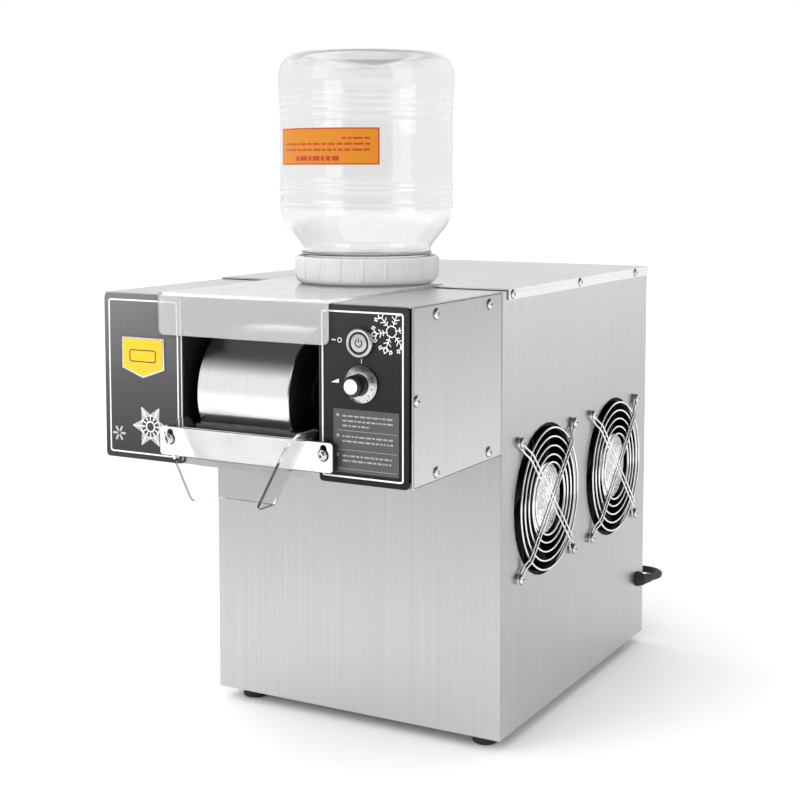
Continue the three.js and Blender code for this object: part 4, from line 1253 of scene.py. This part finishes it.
def print_right():
    low, high = span("fascia_right")
    refined("fascia_right", FASCIA, "fascia", 0.3)
    left, right, top = low.x + 2.2, high.x - BORDER, high.z - BORDER
    border = frame_line(left, low.z + BORDER, right, top, 2.2, LINE)
    mark("fascia_right_border", border, WHITE_INK, "white_plastic")
    # Painted highlight: a grey stroke along the fascia's left edge.
    edge = stroke(low.x + 0.6, low.z + 3, low.x + 0.6, high.z - 3, 0.5)
    mark("fascia_right_edge_highlight", [edge], GREY_INK, "black_plastic")

    def keep(u, v):
        return u < right - LINE and v < top - LINE

    stroked("snowflake_outline", outlined_flake(113, 331.8, 15.6, keep), WHITE_INK, "white_plastic")
    x0, x1, z0, z1 = 68.3, 118.6, 235, 278
    mark("guide_panel", [rounded(x0, z0, x1, z1, 0.6, 2)], GREY_INK, "black_plastic", depth=0.05)
    chance = random.Random(5)
    bars, rules = [], []
    for row, (line_top, lines) in enumerate(((273.6, 3), (259.8, 2), (246.6, 2))):
        dot = x0 + 3.4
        bars.append(circle(dot, line_top + 0.2, 1.1, 16))
        for i in range(lines):
            end = x1 - 4 if i < lines - 1 or lines == 2 else x1 - 22
            bars += row_bars(x0 + 7, end, line_top - 0.8 - i * 3.3, 1.15, chance)
        bottom = (263.5, 250.4, 237.6)[row]
        rules.append(stroke(x0 + 3, bottom, x1 - 1.5, bottom, 0.3))
    mark("guide_rows", [*bars, *rules], PALE_INK, "white_plastic", depth=0.11)
    ring = ring_line(73.3, 324.2, 1.7, 1.2, 28)
    wedge = [(66.4, 295.4), (72.6, 295.4), (72.6, 298.2)]
    mark("control_icons", [*ring, rounded(67, 323.8, 70.2, 324.6, 0.3, 2), wedge], WHITE_INK, "white_plastic")


print_left()
print_right()


# ---- lid, inlet cup and bottle
def add_lid():
    """The lid and its cup. Mirrors don't show the lid, so the drum has the dark band of the photo."""
    lid = refined("lid", LID_PLASTIC, "clear_acrylic", 0.6, segments=3)
    lid.visible_glossy = False
    refined("water_inlet_cup", WHITE, "white_plastic", 0.4)
    refined("water_hose", WHITE, "white_plastic", 0)


def smooth_profile(points, step):
    """A smooth curve through (radius, height) points."""
    return [(p.x, p.y) for p in smooth_route([(r, h, 0) for r, h in points], step)]


BOTTLE_HEIGHT = 174.8                                   # from the cap's underside to the bottle's top
HOOP_WIDTH = 1.25
HOOPS = [                                               # height and size of each
    (125.8, 0.4), (131.6, 0.55), (136.8, 0.55), (141.4, 0.5), (61.6, 0.35), (70.6, 0.5), (74, 0.55),
    (77.4, 0.5),
]


def ribbed(radius, height):
    """Adds the moulded hoops round the bottle's wall to a radius at a height."""
    return radius + sum(size * math.exp(-(((height - at) / HOOP_WIDTH) ** 2)) for at, size in HOOPS)


def add_bottle():
    x, y, _ = middle_of("water_bottle")
    base = span("water_bottle")[1].z - BOTTLE_HEIGHT
    wall = 1.1                                          # thickness
    outside = smooth_profile([
        (48.4, 3.2), (48.4, 12), (48.4, 20.5), (48.6, 21.6), (50.2, 22.6), (50.4, 23.8), (49.4, 25),
        (49.8, 27.5), (52.6, 32), (57.2, 37.5), (61.8, 43.2), (65, 49.5), (66.2, 56), (66, 64),
        (65.9, 72), (65.9, 84), (65.9, 102), (65.9, 122), (66, 132), (66.4, 142), (67.1, 149),
        (67.3, 155), (66.6, 161.5), (64, 168), (58.6, 172.6), (51, 174.6), (47, 174.5),
    ], 0.9)
    dome = smooth_profile([
        (47, 174.5), (42, 173.2), (34, 170), (26, 167.2), (18, 165.3), (9, 164), (0, 163.6),
    ], 1.5)
    outer = [(ribbed(r, h), h) for r, h in outside] + dome[1:-1] + [(0, dome[-1][1])]
    inner = []
    for i in range(len(outer) - 1, -1, -1):
        r, h = outer[i]
        if i == len(outer) - 1:
            inner.append((0, h - wall))
            continue
        before, after = outer[max(i - 1, 0)], outer[i + 1]
        dr, dh = after[0] - before[0], after[1] - before[1]
        size = math.hypot(dr, dh)
        inner.append((r - wall * dh / size, h + wall * dr / size))
    bottle = turned("bottle_shell", [*outer, *inner], (x, y, base), Z, 144, closed=True, angle=60)
    dress(bottle, PET, "clear_pet", body_of("water_bottle"), "water_bottle")
    bead = turned("base_button", [(0, 163.7), (3.6, 163.75), (3.6, 164.5), (3.2, 164.8), (0, 164.8)],
                  (x, y, base), Z, 32)
    dress(bead, PET, "clear_pet", body_of("water_bottle"))
    add_label(x, y, base)
    add_cap(x, y, base)


def wrapped(name, x, y, radius, start, end, low, high, thickness):
    """A thin curved patch round the bottle, between two angles and two heights."""
    steps = max(2, round((end - start) / 2))
    points, faces = [], []
    for i in range(steps + 1):
        turn = math.radians(start + (end - start) * i / steps)
        for r, z in ((radius, low), (radius, high), (radius + thickness, high), (radius + thickness, low)):
            points.append((x + r * math.cos(turn), y + r * math.sin(turn), z))
    for i in range(steps):
        a, b = 4 * i, 4 * i + 4
        for k in range(4):
            n = (k + 1) % 4
            faces.append((a + k, a + n, b + n, b + k))
    faces += [(0, 1, 2, 3), (4 * steps + 3, 4 * steps + 2, 4 * steps + 1, 4 * steps)]
    return from_faces(name, points, faces)


def add_label(x, y, base):
    """A plain two-colour label with word-like bars, on the side that faces front."""
    body = body_of("water_bottle")
    start, end, low, high = -131.5, -51.5, base + 89.9, base + 116.9
    radius = 66.08                                      # just outside the bottle's wall
    label = wrapped("bottle_label", x, y, radius, start, end, low, high, 0.12)
    dress(label, ORANGE, "white_plastic", body)
    edge, turn = 0.7, 0.65
    first, last = start + 0.4, end - 0.4
    patches = [
        (first, last, low + 0.3, low + 0.3 + edge), (first, last, high - 0.3 - edge, high - 0.3),
        (first, first + turn, low + 1, high - 1), (last - turn, last, low + 1, high - 1),
    ]
    chance = random.Random(8)
    rows = [(start + 20, end - 26, low + 3, 3.4), (start + 6, end - 6, low + 10.2, 1.5),
            (start + 6, end - 6, low + 14.4, 1.5), (end - 24, end - 6, low + 18.6, 1.5)]
    for first, last, z, height in rows:
        angle = first
        while angle < last - 1.5:
            width = min(chance.uniform(2, 6.5), last - angle)
            patches.append((angle, angle + width, z, z + height))
            angle += width + 1.1
    parts = [wrapped("ink", x, y, radius + 0.12, *patch, 0.05) for patch in patches]
    dress(joined("label_print", parts), RED_INK, "white_plastic", body)


def add_cap(x, y, base):
    """A frosted screw cap with grip ridges, its valve and the valve's spring."""
    body = body_of("bottle_cap")

    low, high, broad, fine = 3.2, 20.4, 20, 120         # the ridged band, and its two counts of ridges

    def grip(turn, height):
        if not low < height < high:
            return 0
        share = (turn * broad / (2 * math.pi)) % 1
        ridge = math.exp(-(((share - 0.5) / 0.055) ** 2))
        ripple = 0.5 + 0.5 * math.cos(turn * fine)
        fade = min(1, (height - low) / 2, (high - height) / 0.6)
        return fade * (0.8 * ridge + 0.16 * ripple)

    shell = turned("cap_shell", [
        (6.2, -12), (11.6, -12), (12, -11.6), (12, 0), (48, 0), (50.6, 0.35), (52.8, 1.5), (54.2, 3.2),
        (54.6, 5), (54.7, 9), (54.7, 14), (54.7, 18.8), (54.7, 20.2), (54.3, 20.9), (53.7, 21), (52.4, 21),
        (51.8, 20.6), (51.7, 12), (51.7, 3), (51, 2.2), (12.2, 2), (12, 2.3), (12, 5.8), (11.6, 6), (6.2, 6),
    ], (x, y, base), Z, 720, closed=True, swell=grip, angle=50)
    dress(shell, FROSTED, "frosted_plastic", body, "bottle_cap")
    coil = []
    for i in range(141):
        turn = 2 * math.pi * i / 20
        coil.append((x + 5.1 * math.cos(turn), y + 5.1 * math.sin(turn), base - 10 + 14.5 * i / 140))
    spring = wires("valve_spring", [coil], 0.4)
    dress(spring, CHROME, "wire", body)
    refined("cap_valve_plunger", WHITE, "white_plastic", 0.4)


add_lid()
add_bottle()


# ---- inside the cabinet
def add_inside():
    refined("compressor", PAINT, "black_paint", 0.8)
    refined("condenser_fins", ALUMINIUM, "aluminium", 0.1)
    for node in ("condenser_coil", "suction_pipe", "liquid_line_with_drier"):
        refined(node, COPPER, "copper", 0, angle=70)
    refined("control_board", BOARD, "circuit", 0.1)
    on_board = (0, span("control_board")[1].y, 0)
    relays = [
        plate("relay", [rounded(x, 262, x + 15, 281, 0.8, 2)], 14, on_board, -X, Z, bevel=0.5)
        for x in (-92, -112)
    ]
    fins = [
        plate("fin", [rounded(x, 296, x + 1.6, 326, 0.4, 1)], 12, on_board, -X, Z)
        for x in range(-116, -92, 4)
    ]
    parts = joined("board_parts", [*relays, *fins])
    dress(parts, BLACK, "black_plastic", HOUSING)


add_inside()


# ---- floor and light
def aim_lamp(name, data, position, target):
    """A lamp that lights without showing in reflections."""
    lamp = bpy.data.objects.new(name, data)
    bpy.context.scene.collection.objects.link(lamp)
    lamp.location = place(*position)
    lamp.rotation_euler = (place(*target) - lamp.location).to_track_quat("-Z", "Y").to_euler()
    lamp.visible_glossy = False


def add_surround():
    """White all round to the eye. What is mirrored is white low down, dark overhead and behind the viewer."""
    world = bpy.data.worlds.new("surround")
    bpy.context.scene.world = world
    world.use_nodes = True
    nodes = Nodes(world.node_tree)
    direction = nodes.node("TexCoord").outputs["Generated"]
    up = nodes.node("SeparateXYZ", {0: direction}).outputs["Z"]
    height_stops = [(0.0, 1.0), (0.4, 1.0), (0.55, 0.45), (0.7, 0.08), (1.0, 0.08)]
    height_tone = nodes.ramp(up, [(position, rgb(tone)) for position, tone in height_stops])
    viewer = Vector((586, -985, 0)).normalized()        # towards the camera, level
    toward = nodes.node("VectorMath", {0: direction, 1: viewer}, operation="DOT_PRODUCT").outputs["Value"]
    viewer_tone = nodes.ramp(toward, [(0.8, rgb(1.0)), (0.88, rgb(0.12))])
    mirrored = nodes.mix(1.0, height_tone, viewer_tone, "MULTIPLY")
    to_the_eye = nodes.node("LightPath").outputs["Is Camera Ray"]
    surround = nodes.mix(to_the_eye, mirrored, rgb(1.0))
    nodes.tree.links.new(surround, nodes.tree.nodes["Background"].inputs["Color"])


def add_stage():
    """A pale floor, a white surround and soft lamps."""
    mesh = bpy.data.meshes.new("floor")
    reach, top = 12, -0.0003                            # metres; just below the feet
    corners = [(-reach, -reach, top), (reach, -reach, top), (reach, reach, top), (-reach, reach, top)]
    mesh.from_pydata(corners, [], [(0, 1, 2, 3)])
    floor = obtain("floor", mesh)
    pale = Surface("pale_floor", rgb(0.95), 0.6)
    floor.data.materials.append(pale.material)
    add_surround()
    lamps = [
        ("key", (-900, -1500, 1100), (0, 0, 250), 0.9, 1.3, 10),
        ("side", (1500, -300, 900), (0, 100, 200), 0.8, 1.2, 8),
    ]
    for name, position, target, width, height, power in lamps:
        data = bpy.data.lights.new(name, "AREA")
        data.shape = "RECTANGLE"
        data.size, data.size_y, data.energy = width, height, power
        aim_lamp(name, data, position, target)
    sun = bpy.data.lights.new("sky", "SUN")
    sun.energy, sun.angle = 3.2, math.radians(100)
    aim_lamp("sky", sun, (-300, -500, 1200), (0, 0, 0))
    bpy.context.scene.view_settings.view_transform = "Standard"


add_stage()
